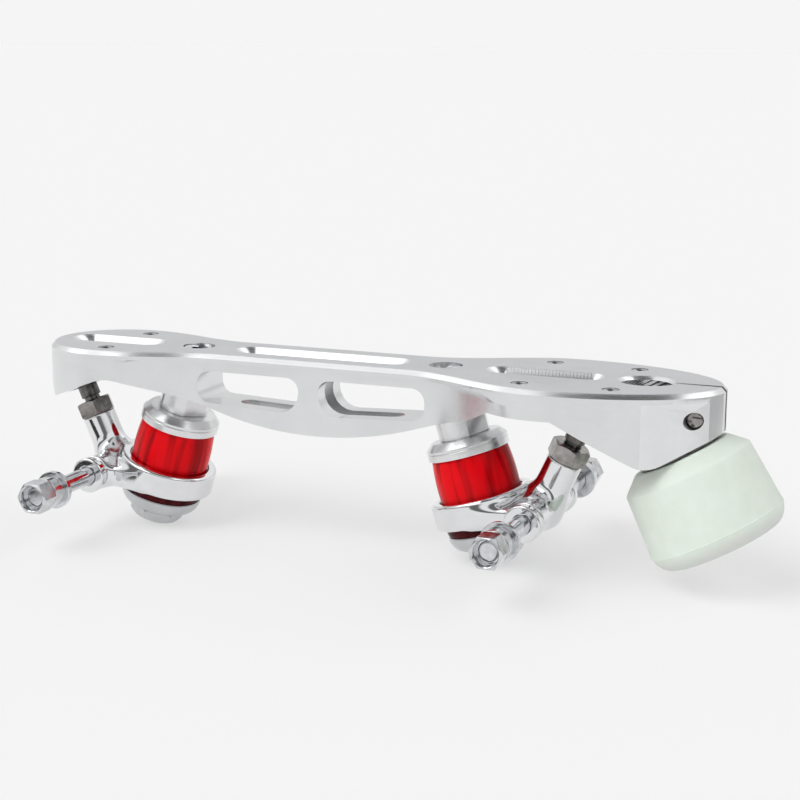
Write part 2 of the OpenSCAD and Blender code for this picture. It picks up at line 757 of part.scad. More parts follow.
module lower_cushion(end) {
    color("darkred") truck_frame(end) king_frame() tube(low_cushion_r, king_hole_r, -cup_s, -low_seat_s);
}

// The side of the cup rounds off to its foot
function cup_side() = [for (k = [0:8])
    [cup_r - cup_round + cup_round * cos(90 * k / 8), -king_nut_s + cup_round - cup_round * sin(90 * k / 8)]];

module lower_cup(end) {
    color("lightgray") truck_frame(end) king_frame() rotate_extrude()
        polygon(concat([[king_hole_r, -cup_s], [cup_r, -cup_s]], cup_side(), [[king_hole_r, -king_nut_s]]));
}

module kingpin_nut(end) {
    color("lightgray") truck_frame(end) king_frame() translate([0, 0, -king_end_s])
        rotate([0, 0, 30]) hex_nut(king_nut_flat, king_nut_h, king_r + thread_gap);
}

module pivot_cup(end) {
    color("black") truck_frame(end) pivot_frame() difference() {
        translate([0, 0, pivot_l]) cylinder(r = pivot_cup_r, h = pivot_cup_end - pivot_l);
        translate([0, 0, ball_l]) cylinder(r = cup_bore_r, h = pivot_bore_end - ball_l);
        translate([0, 0, pivot_l]) cylinder(r1 = cup_bore_r + cup_flare, r2 = cup_bore_r, h = ball_in);
    }
}

// Truck, alike at both ends

module ring_blank() {
    king_frame() rotate_extrude()
        polygon(concat([[0, -ring_s], [ring_r - 0.6, -ring_s], [ring_r, -ring_s - 0.6]],
            [for (k = [0:6]) [ring_r - ring_round + ring_round * cos(15 * k),
                -ring_end_s + ring_round - ring_round * sin(15 * k)]],
            [[0, -ring_end_s]]));
}

// The web that carries the axle barrel from the ring
module hanger_web() {
    web_r = ring_r - ring_round;
    hull() {
        king_frame() translate([0, 0, -ring_end_s + ring_round])
            cylinder(r = web_r, h = ring_h - ring_seat_t - ring_round, $fn = 48);
        axle_frame() cylinder(r = barrel_r - 0.4, h = 2 * barrel_y - 1, center = true, $fn = 32);
    }
}

module axle_barrel() {
    axle_frame() {
        cylinder(r = barrel_r, h = 2 * barrel_y, center = true);
        cylinder(r = shoulder_r - 0.9, h = 2 * (hub_reach - hub_w / 2), center = true);
        for (side = [0, 1]) mirror([0, 0, side]) {
            translate([0, 0, hub_reach - hub_w]) cylinder(r = hub_r, h = hub_w);
            translate([0, 0, barrel_y - shoulder_w]) cylinder(r = shoulder_r, h = shoulder_w);
        }
    }
}

// The eight-sided pivot arm and the gusset under it
module pivot_arm() {
    pivot_frame() rotate([0, 0, 22.5]) cylinder(r = arm_flat / 2 / cos(22.5), h = arm_l, $fn = 8);
    hull() {
        pivot_frame() rotate([0, 0, 22.5]) cylinder(r = arm_flat / 2 / cos(22.5) - 0.3, h = arm_l * 0.45, $fn = 8);
        axle_frame() cylinder(r = barrel_r - 0.4, h = arm_flat * 1.2, center = true, $fn = 32);
    }
}

module hanger(end) {
    color("silver") truck_frame(end) difference() {
        union() {
            ring_blank();
            hanger_web();
            axle_barrel();
            pivot_arm();
        }
        king_frame() {
            translate([0, 0, -ring_end_s - over]) cylinder(r = king_r + ring_gap, h = ring_h + 2 * over);
            translate([0, 0, -ring_seat_s]) cylinder(r = cushion_r + cushion_gap, h = cushion_h);
            translate([0, 0, -low_seat_s - low_cushion_h])
                cylinder(r = low_cushion_r + cushion_gap, h = low_cushion_h);
            translate([0, 0, -king_end_s]) cylinder(r = cup_r + cup_gap, h = king_end_s - cup_s + 2 * cup_gap);
        }
        axle_frame() cylinder(r = axle_r + thread_gap, h = 2 * axle_reach, center = true);
        pivot_frame() translate([0, 0, arm_l - pin_depth])
            cylinder(r = pin_r + thread_gap, h = pin_depth + over);
    }
}

module axle(end) {
    tip = 0.5;
    color("silver") truck_frame(end) axle_frame() rotate_extrude()
        polygon([[0, -axle_reach], [axle_r - tip, -axle_reach], [axle_r, -axle_reach + tip],
            [axle_r, axle_reach - tip], [axle_r - tip, axle_reach], [0, axle_reach]]);
}

module both_axle_ends(end) {
    truck_frame(end) axle_frame() for (side = [0, 1])
        mirror([0, 0, side]) children();
}

module axle_nuts(end) {
    color("silver") both_axle_ends(end) difference() {
        translate([0, 0, nut_y]) hex_nut(axle_nut_flat, axle_nut_l, axle_r + thread_gap);
        translate([0, 0, nut_end - axle_nut_hollow]) cylinder(r = axle_nut_hollow_r, h = axle_nut_hollow + over);
    }
}

module axle_spacers(end) {
    color("silver") both_axle_ends(end) tube(spacer_r, axle_r + thread_gap, spacer_y, nut_y);
}

module axle_washers(end) {
    color("silver") both_axle_ends(end) tube(washer_r, axle_r + thread_gap, washer_y, spacer_y);
}

module pivot_pin(end) {
    color("dimgray") truck_frame(end) pivot_frame() {
        head_end = pivot_l - head_l;
        translate([0, 0, arm_l - pin_depth]) cylinder(r = pin_r, h = head_end - arm_l + pin_depth);
        translate([0, 0, head_end]) cylinder(r = ball_r, h = ball_l - head_end);
        translate([0, 0, ball_l]) sphere(r = ball_r);
    }
}

module lock_nut(end) {
    color("gray") truck_frame(end) pivot_frame() translate([0, 0, arm_l])
        hex_nut(lock_nut_flat, lock_nut_h, pin_r + thread_gap);
}

plate();
pinch_bolt();
toe_stop_washer();
toe_stop_stem();
toe_stop_rubber();
kingpin(TOE);  // toe_kingpin
collar(TOE);  // toe_collar
upper_cap(TOE);  // toe_upper_cap
upper_cushion(TOE);  // toe_upper_cushion
lower_cushion(TOE);  // toe_lower_cushion
lower_cup(TOE);  // toe_lower_cup
kingpin_nut(TOE);  // toe_kingpin_nut
pivot_cup(TOE);  // toe_pivot_cup
hanger(TOE);  // toe_hanger
axle(TOE);  // toe_axle
axle_nuts(TOE);  // toe_axle_nuts
axle_spacers(TOE);  // toe_axle_spacers
axle_washers(TOE);  // toe_axle_washers
pivot_pin(TOE);  // toe_pivot_pin
lock_nut(TOE);  // toe_lock_nut
kingpin(HEEL);  // heel_kingpin
collar(HEEL);  // heel_collar
upper_cap(HEEL);  // heel_upper_cap
upper_cushion(HEEL);  // heel_upper_cushion
lower_cushion(HEEL);  // heel_lower_cushion
lower_cup(HEEL);  // heel_lower_cup
kingpin_nut(HEEL);  // heel_kingpin_nut
pivot_cup(HEEL);  // heel_pivot_cup
hanger(HEEL);  // heel_hanger
axle(HEEL);  // heel_axle
axle_nuts(HEEL);  // heel_axle_nuts
axle_spacers(HEEL);  // heel_axle_spacers
axle_washers(HEEL);  // heel_axle_washers
pivot_pin(HEEL);  // heel_pivot_pin
lock_nut(HEEL);  // heel_lock_nut
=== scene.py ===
"""Finish of the roller skate plate: its pieces, their materials, the studio and the camera.

Shapes are worked out in millimetres in the same frames as the part's source, and go into their meshes in
metres.
"""
import json
import math

import bmesh
import bpy
import numpy as np
from mathutils import Matrix, Vector


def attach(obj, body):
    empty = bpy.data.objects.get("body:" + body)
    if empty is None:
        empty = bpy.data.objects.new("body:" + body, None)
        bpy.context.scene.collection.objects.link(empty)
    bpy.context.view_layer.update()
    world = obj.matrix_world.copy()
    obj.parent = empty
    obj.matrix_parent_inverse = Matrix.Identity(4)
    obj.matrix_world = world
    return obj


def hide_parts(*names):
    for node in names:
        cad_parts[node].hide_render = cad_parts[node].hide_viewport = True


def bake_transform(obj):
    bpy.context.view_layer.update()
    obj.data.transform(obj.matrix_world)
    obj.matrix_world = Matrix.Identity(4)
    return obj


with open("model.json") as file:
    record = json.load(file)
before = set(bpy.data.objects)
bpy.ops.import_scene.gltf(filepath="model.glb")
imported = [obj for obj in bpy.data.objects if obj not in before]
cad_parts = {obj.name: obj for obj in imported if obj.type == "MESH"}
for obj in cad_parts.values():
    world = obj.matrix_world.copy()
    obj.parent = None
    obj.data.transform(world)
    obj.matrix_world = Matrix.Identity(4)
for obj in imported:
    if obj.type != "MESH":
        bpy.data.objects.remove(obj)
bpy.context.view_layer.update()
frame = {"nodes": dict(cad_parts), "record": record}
scene = bpy.context.scene

# From the part's origin to the middle between the trucks, and from the ground up to the deck
MID_X, STAND_H = 30.92456, 71.77218
TO_PART = np.array((MID_X, 0, -STAND_H))
# The kingpin's place and lean, the axle's place, and the lean of the pivot arm
KING_X, KING_TILT = 50.75, math.radians(17)
AXLE_X, AXLE_DROP, PIVOT_TILT = 88.25, 50.0, math.radians(24)
# The toe stop's place and lean, the pinch bolt's place, and how far its head stands from the middle
STOP_X, STOP_TILT = 124.7, math.radians(28.5)
PINCH_X, PINCH_DROP, PINCH_TOP = 145.4, 9.9, 13.0
# Stations down the kingpin from the deck: the cap's top, the upper cushion's top and seat, the lower
# cushion's seat, the tops of the cup and the nut, and the pin's foot; and the radius of the holes round it
CAP_TOP, CUSHION_TOP, SEAT, LOWER_SEAT = -26.5, -32.7, -51.5, -56.0
CUP_TOP, NUT_TOP, PIN_FOOT, PIN_HOLE = -61.5, -67.8, -72.3, 4.15
# Stations down the toe stop's stem: the tops of the washer and the rubber, its moulding line and its foot
WASHER_TOP, RUBBER_TOP, MOULD_LINE, RUBBER_FOOT, STEM_R = -27.3, -28.5, -57.3, -63.5, 8.0
# Stations up the pivot arm from the axle: where the pin begins, and the ends of the arm
PIN_START, ARM_LOW, ARM_HIGH = 11.8, -2.0, 20.8

PART = Matrix.Translation((-MID_X, 0, STAND_H))
TRUCK = {"toe": PART, "heel": PART @ Matrix.Rotation(math.pi, 4, "Z")}
KING = Matrix.Translation((KING_X, 0, 0)) @ Matrix.Rotation(-KING_TILT, 4, "Y")
STOP = PART @ Matrix.Translation((STOP_X, 0, 0)) @ Matrix.Rotation(-STOP_TILT, 4, "Y")
AXLE = Matrix.Translation((AXLE_X, 0, -AXLE_DROP))
AXLE_ENDS = [AXLE @ Matrix.Rotation(side * math.pi / 2, 4, "X") for side in (-1, 1)]
PIVOT = AXLE @ Matrix.Rotation(PIVOT_TILT, 4, "Y")
PINCH = PART @ Matrix.Translation((PINCH_X, 0, -PINCH_DROP)) @ Matrix.Rotation(math.pi / 2, 4, "X")

# Steps round a turned piece, and the chamfer at the mouth of a nut's bore
TURNS, CHAMFER = 144, 0.4


def placed(points, matrix):
    """Points in millimetres, carried by a 4 by 4 matrix, in metres."""
    m = np.array(matrix)
    return (points @ m[:3, :3].T + m[:3, 3]) * 0.001


# Meshes


def solid(name, points, faces, smooth=35):
    """A mesh object from an array of points in metres and an array of three or four sided faces that point
    outwards. Edges sharper than smooth degrees stay sharp; with 0 the whole skin is smooth."""
    mesh = bpy.data.meshes.new(name)
    mesh.vertices.add(len(points))
    mesh.vertices.foreach_set("co", points.astype(np.float32).ravel())
    mesh.loops.add(faces.size)
    mesh.loops.foreach_set("vertex_index", faces.astype(np.int32).ravel())
    mesh.polygons.add(len(faces))
    mesh.polygons.foreach_set("loop_start", np.arange(0, faces.size, faces.shape[1], dtype=np.int32))
    mesh.update(calc_edges=True)
    mesh.validate()
    return shown(mesh, smooth)


def shown(mesh, smooth):
    """Puts a mesh into the scene as an object of its own name, smooth but for edges sharper than smooth
    degrees."""
    obj = bpy.data.objects.new(mesh.name, mesh)
    scene.collection.objects.link(obj)
    mesh.shade_smooth()
    if smooth:
        mesh.set_sharp_from_angle(angle=math.radians(smooth))
    return obj


def points_of(mesh):
    """A mesh's points as an array, in metres."""
    at = np.empty(len(mesh.vertices) * 3, np.float32)
    mesh.vertices.foreach_get("co", at)
    return at.reshape(-1, 3).astype(float)


def mark(mesh, name, values, domain="POINT"):
    """Keeps an array of numbers or vectors on a mesh's points, edges, corners or faces, for its material or
    its bevel to read."""
    kind, field = ("FLOAT_VECTOR", "vector") if values.ndim == 2 else ("FLOAT", "value")
    mesh.attributes.new(name, kind, domain).data.foreach_set(field, values.astype(np.float32).ravel())


def break_edges(obj, width, angle):
    """A narrow rounded bevel, width millimetres wide, along the edges sharper than angle degrees."""
    edge = obj.modifiers.new("edge break", "BEVEL")
    edge.width, edge.segments = width * 0.001, 2
    edge.limit_method, edge.angle_limit = "ANGLE", math.radians(angle)
    edge.harden_normals = True
    edge.miter_outer = "MITER_ARC"
    return obj


def rounded(outline, radius, steps=5):
    """A closed outline whose corners become short arcs: quadratic curves between points set back along both
    sides."""
    p = np.array(outline, float)
    back, ahead = np.roll(p, 1, axis=0) - p, np.roll(p, -1, axis=0) - p
    lb, la = np.linalg.norm(back, axis=1), np.linalg.norm(ahead, axis=1)
    cut = np.minimum(np.broadcast_to(radius, lb.shape), 0.45 * np.minimum(lb, la))[:, None]
    a, b = p + back / lb[:, None] * cut, p + ahead / la[:, None] * cut
    t = np.linspace(0, 1, steps)[None, :, None]
    curve = (1 - t) ** 2 * a[:, None] + 2 * t * (1 - t) * p[:, None] + t**2 * b[:, None]
    return curve.reshape(-1, 2)


def lathe(name, outline, *frames, turns=TURNS, smooth=35):
    """A closed outline of radius and height, spun over a grid of angles about the height axis of each frame.

    The outline is a row of points, or a row for each angle where the shape isn't round. The point attribute
    "turned" keeps the place in the frame in millimetres, "along" the length along the outline, and "grain"
    the outline's own direction, so that tool marks and streaks follow the shape.
    """
    p = np.asarray(outline, float)
    p = np.broadcast_to(p[:, None] if p.ndim == 2 else p, (len(p), turns, 2))
    a = np.linspace(0, 2 * math.pi, turns, endpoint=False)
    n = len(p)
    way = np.roll(p, -1, axis=0) - np.roll(p, 1, axis=0)
    area = np.sum(p[:, 0, 0] * way[:, 0, 1])
    way = way / np.maximum(np.linalg.norm(way, axis=-1, keepdims=True), 1e-9)
    local, grain = (np.stack([q[..., 0] * np.cos(a), q[..., 0] * np.sin(a), q[..., 1]], -1).reshape(-1, 3)
                    for q in (p, way))
    i, j = np.meshgrid(np.arange(n), np.arange(turns), indexing="ij")
    i2, j2 = (i + 1) % n, (j + 1) % turns
    faces = np.stack([i * turns + j, i * turns + j2, i2 * turns + j2, i2 * turns + j], -1).reshape(-1, 4)
    if area < 0:
        faces = faces[:, ::-1]
    points = np.concatenate([placed(local, m) for m in frames])
    obj = solid(name, points, np.concatenate([faces + k * len(local) for k in range(len(frames))]), smooth)
    step = np.linalg.norm(np.diff(p, axis=0, prepend=p[:1]), axis=-1)
    mark(obj.data, "turned", np.tile(local, (len(frames), 1)))
    mark(obj.data, "along", np.tile(np.cumsum(step, axis=0).ravel(), len(frames)))
    mark(obj.data, "grain", np.concatenate([grain @ np.array(m)[:3, :3].T for m in frames]))
    if p[..., 0].min() < 1e-6:
        merge_poles(obj.data)
    return obj


def merge_poles(mesh):
    """Joins the points that meet on the axis of a lathe shape, so that it closes there."""
    shape = bmesh.new()
    shape.from_mesh(mesh)
    bmesh.ops.remove_doubles(shape, verts=shape.verts, dist=1e-7)
    bmesh.ops.dissolve_degenerate(shape, edges=shape.edges, dist=1e-8)
    bmesh.ops.delete(shape, geom=[e for e in shape.edges if e.is_wire], context="EDGES")
    shape.to_mesh(mesh)
    shape.free()


def six_sided(flat, turn=0):
    """A hexagon's radius at each angle of a lathe: half the flat over the cosine of the angle from the middle
    of that side."""
    a = np.linspace(0, 360, TURNS, endpoint=False)
    return flat / 2 / np.cos(np.radians((a - turn) % 60 - 30))


def spread(rows):
    """An outline as a row of points for each angle, from radii and heights that may differ between angles."""
    every = np.zeros(TURNS)
    return np.stack([np.stack(np.broadcast_arrays(r, z, every)[:2], -1) for r, z in rows])


# The turned, milled and moulded pieces


def hex_nut(name, frames, flat, low, high, bore, end_r, turn=0, hollow=None):
    """A hexagonal nut between two heights. A cone of 30 degrees from end_r cuts its corners at both ends. A
    hollow is the radius and depth of a round recess in its upper end."""
    side = six_sided(flat, turn)
    cut = np.maximum(side - end_r, 0) * math.tan(math.radians(30))
    top, depth = hollow or (bore, high - low)
    rows = [(bore, low + CHAMFER), (bore + CHAMFER, low), (end_r, low), (side, low + cut), (side, high - cut),
            (end_r, high), (top + CHAMFER, high), (top, high - CHAMFER)]
    if hollow:
        rows += [(top, high - depth), (bore, high - depth)]
    return break_edges(lathe(name, spread(rows), *frames, smooth=24), 0.12, 24)


def kingpin(name, king):
    """A kingpin with a domed head and a six-sided key hole in it."""
    key, key_foot, head_r, head_foot, shank_r = six_sided(5.0), -4.2, 5.79, -5.0, 3.99
    hole = [(0, key_foot), (key, key_foot), (key, -1.4), (key + 0.35, -1.15)]
    dome = [(4.6, -1.5), (5.2, -1.8), (5.6, -2.2), (head_r, -2.8), (head_r, head_foot)]
    shank = [(shank_r, head_foot), (shank_r, PIN_FOOT + 0.5), (3.5, PIN_FOOT), (0, PIN_FOOT)]
    return lathe(name, spread(hole + dome + shank), king)


def pinch_bolt():
    """The screw across the nose, with a domed head, a quarter of an ellipse, that fills the mouth of its
    hole."""
    foot, shank_r, head_foot, head_r, dome_h = -11.9, 2.0, 8.72, 2.85, 1.3
    bend = np.radians(np.linspace(0, 90, 12))
    dome = np.stack([head_r * np.cos(bend), PINCH_TOP - dome_h + dome_h * np.sin(bend)], 1)
    shank = [(0, foot), (shank_r - 0.3, foot), (shank_r, foot + 0.3), (shank_r, head_foot),
             (head_r, head_foot)]
    return lathe("pinch_bolt_turned", np.concatenate([shank, dome]), PINCH, turns=72)


def pivot_pin(name, pivot):
    """A pivot pin: a threaded shank, a round head, and a ball end whose outline is a quarter of a circle."""
    shank_r, head_foot, ball_at, ball_r = 3.1, 28.7, 37.0, 3.9
    bend = np.radians(np.linspace(0, 90, 16))
    ball = np.stack([ball_r * np.cos(bend), ball_at + ball_r * np.sin(bend)], 1)
    shank = [(0, PIN_START), (shank_r - 0.4, PIN_START), (shank_r, PIN_START + 0.4), (shank_r, head_foot),
             (ball_r - 0.3, head_foot), (ball_r, head_foot + 0.3)]
    return lathe(name, np.concatenate([shank, ball]), pivot, turns=72)


def upper_cap(name, king):
    """The bevelled cap on the upper cushion, with a fine groove round its side."""
    rim, bevel, groove = 15.2, 2.4, -30.0
    outline = [(PIN_HOLE, CAP_TOP), (rim - bevel, CAP_TOP), (rim, CAP_TOP - bevel), (rim, groove + 0.2),
               (rim - 0.3, groove), (rim, groove - 0.2), (rim, CUSHION_TOP), (PIN_HOLE, CUSHION_TOP)]
    return lathe(name, rounded(outline, 0.2), king)


def lower_cup(name, king):
    """The cup under the lower cushion, whose side is a quarter of a circle."""
    rim, round_r = 15.7, 5.6
    bend = np.radians(np.linspace(0, 90, 17))
    side = np.stack([rim - round_r + round_r * np.cos(bend), NUT_TOP + round_r - round_r * np.sin(bend)], 1)
    lip = [(PIN_HOLE, CUP_TOP), (rim - 0.3, CUP_TOP), (rim, CUP_TOP - 0.3)]
    return lathe(name, np.concatenate([lip, side, [(PIN_HOLE, NUT_TOP)]]), king)


def upper_cushion(name, king):
    """The upper cushion: its side widens evenly from the cap to the ring and swells by half a sine wave."""
    t = np.linspace(0, 1, 24)
    side = np.stack([14.3 + 0.7 * t + 0.35 * np.sin(math.pi * t), CUSHION_TOP - 0.6 - 15.0 * t], 1)
    top = [(PIN_HOLE, CUSHION_TOP), (13.6, CUSHION_TOP), (14.05, CUSHION_TOP - 0.15)]
    foot = [(15.0, SEAT + 0.5), (14.7, SEAT + 0.1), (14.3, SEAT), (PIN_HOLE, SEAT)]
    return lathe(name, np.concatenate([top, side, foot]), king)


def lower_cushion(name, king):
    """The lower cushion, whose side swells by half a sine wave to the power of 0.6."""
    t = np.linspace(0, 1, 15)
    side = np.stack([15.35 + 0.45 * np.sin(math.pi * t) ** 0.6, LOWER_SEAT - 0.3 - 4.9 * t], 1)
    top, foot = [(PIN_HOLE, LOWER_SEAT), (15.0, LOWER_SEAT)], [(15.0, CUP_TOP), (PIN_HOLE, CUP_TOP)]
    return lathe(name, np.concatenate([top, side, foot]), king)


def toe_stop_washer():
    """The thin washer between the plate and the toe stop."""
    outline = [(STEM_R, RUBBER_TOP), (STEM_R, WASHER_TOP), (15.0, WASHER_TOP), (15.0, RUBBER_TOP)]
    return lathe("toe_stop_washer_turned", rounded(outline, 0.3), STOP)


def toe_stop_rubber():
    """The toe stop's rubber block: a sloping shoulder, a side that widens to the moulding line, and a foot
    whose outline is an arc from 20 to 90 degrees, stretched to run from that line to the flat."""
    core, wide = -44.6, 24.95
    side = [(STEM_R, -50.0), (STEM_R, RUBBER_TOP), (17.5, RUBBER_TOP), (23.5, -34.1),
            (wide, MOULD_LINE + 0.4)]
    # only the corners between the first and the last point are wanted
    side = rounded(side, 0.5)[5:-5]
    line = [(wide, MOULD_LINE + 0.4), (wide + 0.15, MOULD_LINE + 0.25), (wide + 0.15, MOULD_LINE + 0.1)]
    bend = np.radians(np.linspace(20, 90, 17))
    rise = (np.sin(bend) - math.sin(bend[0])) / (1 - math.sin(bend[0]))
    foot_r = 19.6 + 5.4 * np.cos(bend) / math.cos(bend[0])
    foot = np.stack([foot_r, MOULD_LINE + (RUBBER_FOOT - MOULD_LINE) * rise], 1)
    outline = np.concatenate([[(0, core), (STEM_R, core)], side, line, foot, [(0, RUBBER_FOOT)]])
    return lathe("toe_stop_rubber_moulded", outline, STOP, smooth=20)


def skin(node):
    """A copy of a CAD node's mesh as one skin: its doubled points merged and its flats joined into single
    faces."""
    mesh = frame["nodes"][node].data.copy()
    mesh.name = node + "_finish"
    shape = bmesh.new()
    shape.from_mesh(mesh)
    bmesh.ops.remove_doubles(shape, verts=shape.verts, dist=2e-6)
    bmesh.ops.dissolve_degenerate(shape, edges=shape.edges, dist=2e-6)
    bmesh.ops.dissolve_limit(
        shape, angle_limit=math.radians(0.4), verts=shape.verts, edges=shape.edges, delimit={"NORMAL"}
    )
    if node == "plate":
        cut_plate(shape)
    shape.to_mesh(mesh)
    shape.free()
    return mesh


def machined(node, bevel=0.25, angle=32, axis=None):
    """A CAD node's skin with its edges broken. With the frame of its axis it keeps turning marks, as a
    lathe's does."""
    mesh = skin(node)
    if axis:
        at = placed(points_of(mesh) * 1000, axis.inverted()) * 1000
        mark(mesh, "turned", at)
        mark(mesh, "along", at[:, 2])
        mark(mesh, "grain", np.tile(np.array(axis)[:3, 2], (len(at), 1)))
    return break_edges(shown(mesh, angle), bevel, angle)


# The plate

# The middle, length and half width of each deck slot, and the places of the boot bolts
MIDDLE_SLOT, HEEL_SLOT, FRONT_SLOT = (1.0, 71.5, 6.5), (-86.6, 40.4, 7.0), (88.4, 44.6, 6.3)
DECK_SLOTS = (MIDDLE_SLOT, HEEL_SLOT, FRONT_SLOT)
BOLTS = ((-82.0, 16.85), (85.8, 21.2), (117.9, 19.75))
# Just over the radius of the bolt holes and the toe stop's hole
BOLT_HOLE, STOP_HOLE = 3.4, 8.4
# Room round the holes in which an edge of the deck is theirs, and not the rim's
BOLT_ROOM, KING_ROOM, STOP_ROOM = 6, 12, 14
# How deep the lips of the slots go, and how far they slope inwards, less so on the front slot's ribbed walls
LIP, LIP_SLOPE, RIBBED_SLOPE = 2.45, 2.1, 0.8
# The heights of the deck's edge and the keel's top, and of the cut between them that becomes a cove
DECK_EDGE, KEEL_TOP, COVE = -3.0, -6.4, -4.7
# How far along the plate the cove runs, the share of the overhang left at its cut, and how far that rises
COVE_REACH, COVE_LEFT, COVE_RISE = 75, 0.16, 1.25
# The plate's walls lie farther out than this, and its cuts nearer the middle
WALL_Y = 8
# The slit through the nose, in the source and with its worn edges
SLIT, WORN_SLIT = 1.2, 1.9
# The way that a milled flat of the nose faces, along and across the plate
NOSE_FLAT = (0.605, 0.797)
# The turn in degrees from which an edge of the plate is broken
PLATE_EDGE = 28


def in_slot(at, slot, spare=0.1):
    """Which points, in millimetres from the part's origin, lie in the rectangle round a slot."""
    x, length, half = slot
    return (np.abs(at[..., 0] - x) < length / 2 + spare) & (np.abs(at[..., 1]) < half + spare)


def faces_of(shape):
    """The middles of a shape's faces, in millimetres from the part's origin, and their normals' rise."""
    middle = np.array([f.calc_center_median() for f in shape.faces]) * 1000 + TO_PART
    return middle, np.array([f.normal.z for f in shape.faces])


def cut_across(shape, hit, height):
    """Cuts the faces that are hit across at a height from the deck."""
    faces = [f for f, h in zip(shape.faces, hit) if h]
    edges, points = {e for f in faces for e in f.edges}, {v for f in faces for v in f.verts}
    bmesh.ops.bisect_plane(shape, geom=faces + list(edges) + list(points), dist=1e-6,
                           plane_co=(0, 0, (STAND_H + height) * 0.001), plane_no=(0, 0, 1))


def cut_plate(shape):
    """Cuts the walls of the deck slots at the depth of their lips, and the slope under the deck's edge half
    way."""
    middle, rise = faces_of(shape)
    wall = (np.abs(rise) < 0.1) & np.any([in_slot(middle, slot) for slot in DECK_SLOTS], axis=0)
    cut_across(shape, wall & (middle[:, 2] > -8), -LIP)
    middle, rise = faces_of(shape)
    slope = (rise < -0.2) & (middle[:, 2] < DECK_EDGE) & (middle[:, 2] > KEEL_TOP)
    cut_across(shape, slope & (np.abs(middle[:, 0]) < COVE_REACH), COVE)


def half_width(at, height):
    """The half width of the plate's outline at a height, at each point's place along the plate."""
    ring = at[(np.abs(at[:, 2] - height) < 1e-3) & (at[:, 1] > WALL_Y)]
    ring = ring[np.argsort(ring[:, 0])]
    return np.interp(at[:, 0], ring[:, 0], ring[:, 1])


def slope_lips(at):
    """Draws the cut line in each deck slot to the slot's middle line, so that the lip slopes."""
    for slot in DECK_SLOTS:
        x, length, half = slot
        on = in_slot(at, slot) & (np.abs(at[:, 2] + LIP) < 1e-3)
        straight = length / 2 - half
        slope = np.full(on.sum(), LIP_SLOPE)
        if slot is FRONT_SLOT:
            slope[np.abs(at[on, 0] - x) < straight + 0.3] = RIBBED_SLOPE
        inward = np.stack([np.clip(at[on, 0], x - straight, x + straight), 0 * at[on, 1]], 1) - at[on, :2]
        at[on, :2] += inward / np.linalg.norm(inward, axis=1)[:, None] * slope[:, None]


def draw_cove(at):
    """Draws the cut line under the deck's edge up and in, so that the slope there becomes a cove. It is drawn
    fully where the deck overhangs the keel by 3.5 mm, and not at all below 1 mm."""
    keel, edge = half_width(at, KEEL_TOP), half_width(at, DECK_EDGE)
    cove = (np.abs(at[:, 2] - COVE) < 1e-3) & (np.abs(at[:, 1]) > WALL_Y) & (np.abs(at[:, 0]) < COVE_REACH)
    overhang = (edge - keel)[cove]
    drawn = np.clip(overhang / 2.5 - 0.4, 0, 1)
    aim = keel[cove] + COVE_LEFT * overhang
    at[cove, 1] += np.sign(at[cove, 1]) * (aim - np.abs(at[cove, 1])) * drawn
    at[cove, 2] += COVE_RISE * drawn


def widen_slit(at):
    """Moves the walls of the slit through the nose apart."""
    slit = (np.abs(np.abs(at[:, 1]) - SLIT / 2) < 1e-3) & (at[:, 0] > STOP_X)
    at[slit, 1] = np.sign(at[slit, 1]) * WORN_SLIT / 2


def mark_cuts(mesh, at):
    """Marks the nose's milled flats, which are painted lighter as a painted reflection, the straight walls of
    the front slot for the cutter's ribs, the tapped holes for their thread and for painted shade, and the
    depth down the holes for their thread."""
    count = len(mesh.polygons)
    middle, normal, sides = np.empty(count * 3), np.empty(count * 3), np.empty(count, int)
    mesh.polygons.foreach_get("center", middle)
    mesh.polygons.foreach_get("normal", normal)
    mesh.polygons.foreach_get("loop_total", sides)
    middle, normal = middle.reshape(-1, 3) * 1000 + TO_PART, normal.reshape(-1, 3)
    rise = np.abs(normal[:, 2])
    x, length, half = FRONT_SLOT
    ribbed = in_slot(middle, (x, length - 2 * half, half)) & (rise < 0.4)
    bolts = [np.hypot(middle[:, 0] - x, np.abs(middle[:, 1]) - y) < BOLT_HOLE for x, y in BOLTS]
    bolts = np.any(bolts, axis=0) & (rise < 0.95)
    down = np.array(STOP)[:3, 2]
    off = middle - (STOP_X, 0, 0)
    reach = np.linalg.norm(off - (off @ down)[:, None] * down, axis=1)
    stop = (reach < STOP_HOLE) & (np.abs(normal @ down) < 0.2)
    corner = np.empty(len(mesh.loops), int)
    mesh.loops.foreach_get("vertex_index", corner)
    depth = np.where(np.repeat(stop, sides), (at[corner] - (STOP_X, 0, 0)) @ down, at[corner, 2])
    milled = np.abs(normal[:, 0] * NOSE_FLAT[0] + np.abs(normal[:, 1]) * NOSE_FLAT[1]) > 0.9995
    mark(mesh, "milled", (milled & (rise < 0.02)).astype(float), "FACE")
    mark(mesh, "ribbed", ribbed.astype(float), "FACE")
    mark(mesh, "tapped", (bolts | stop).astype(float), "FACE")
    mark(mesh, "depth", depth, "CORNER")


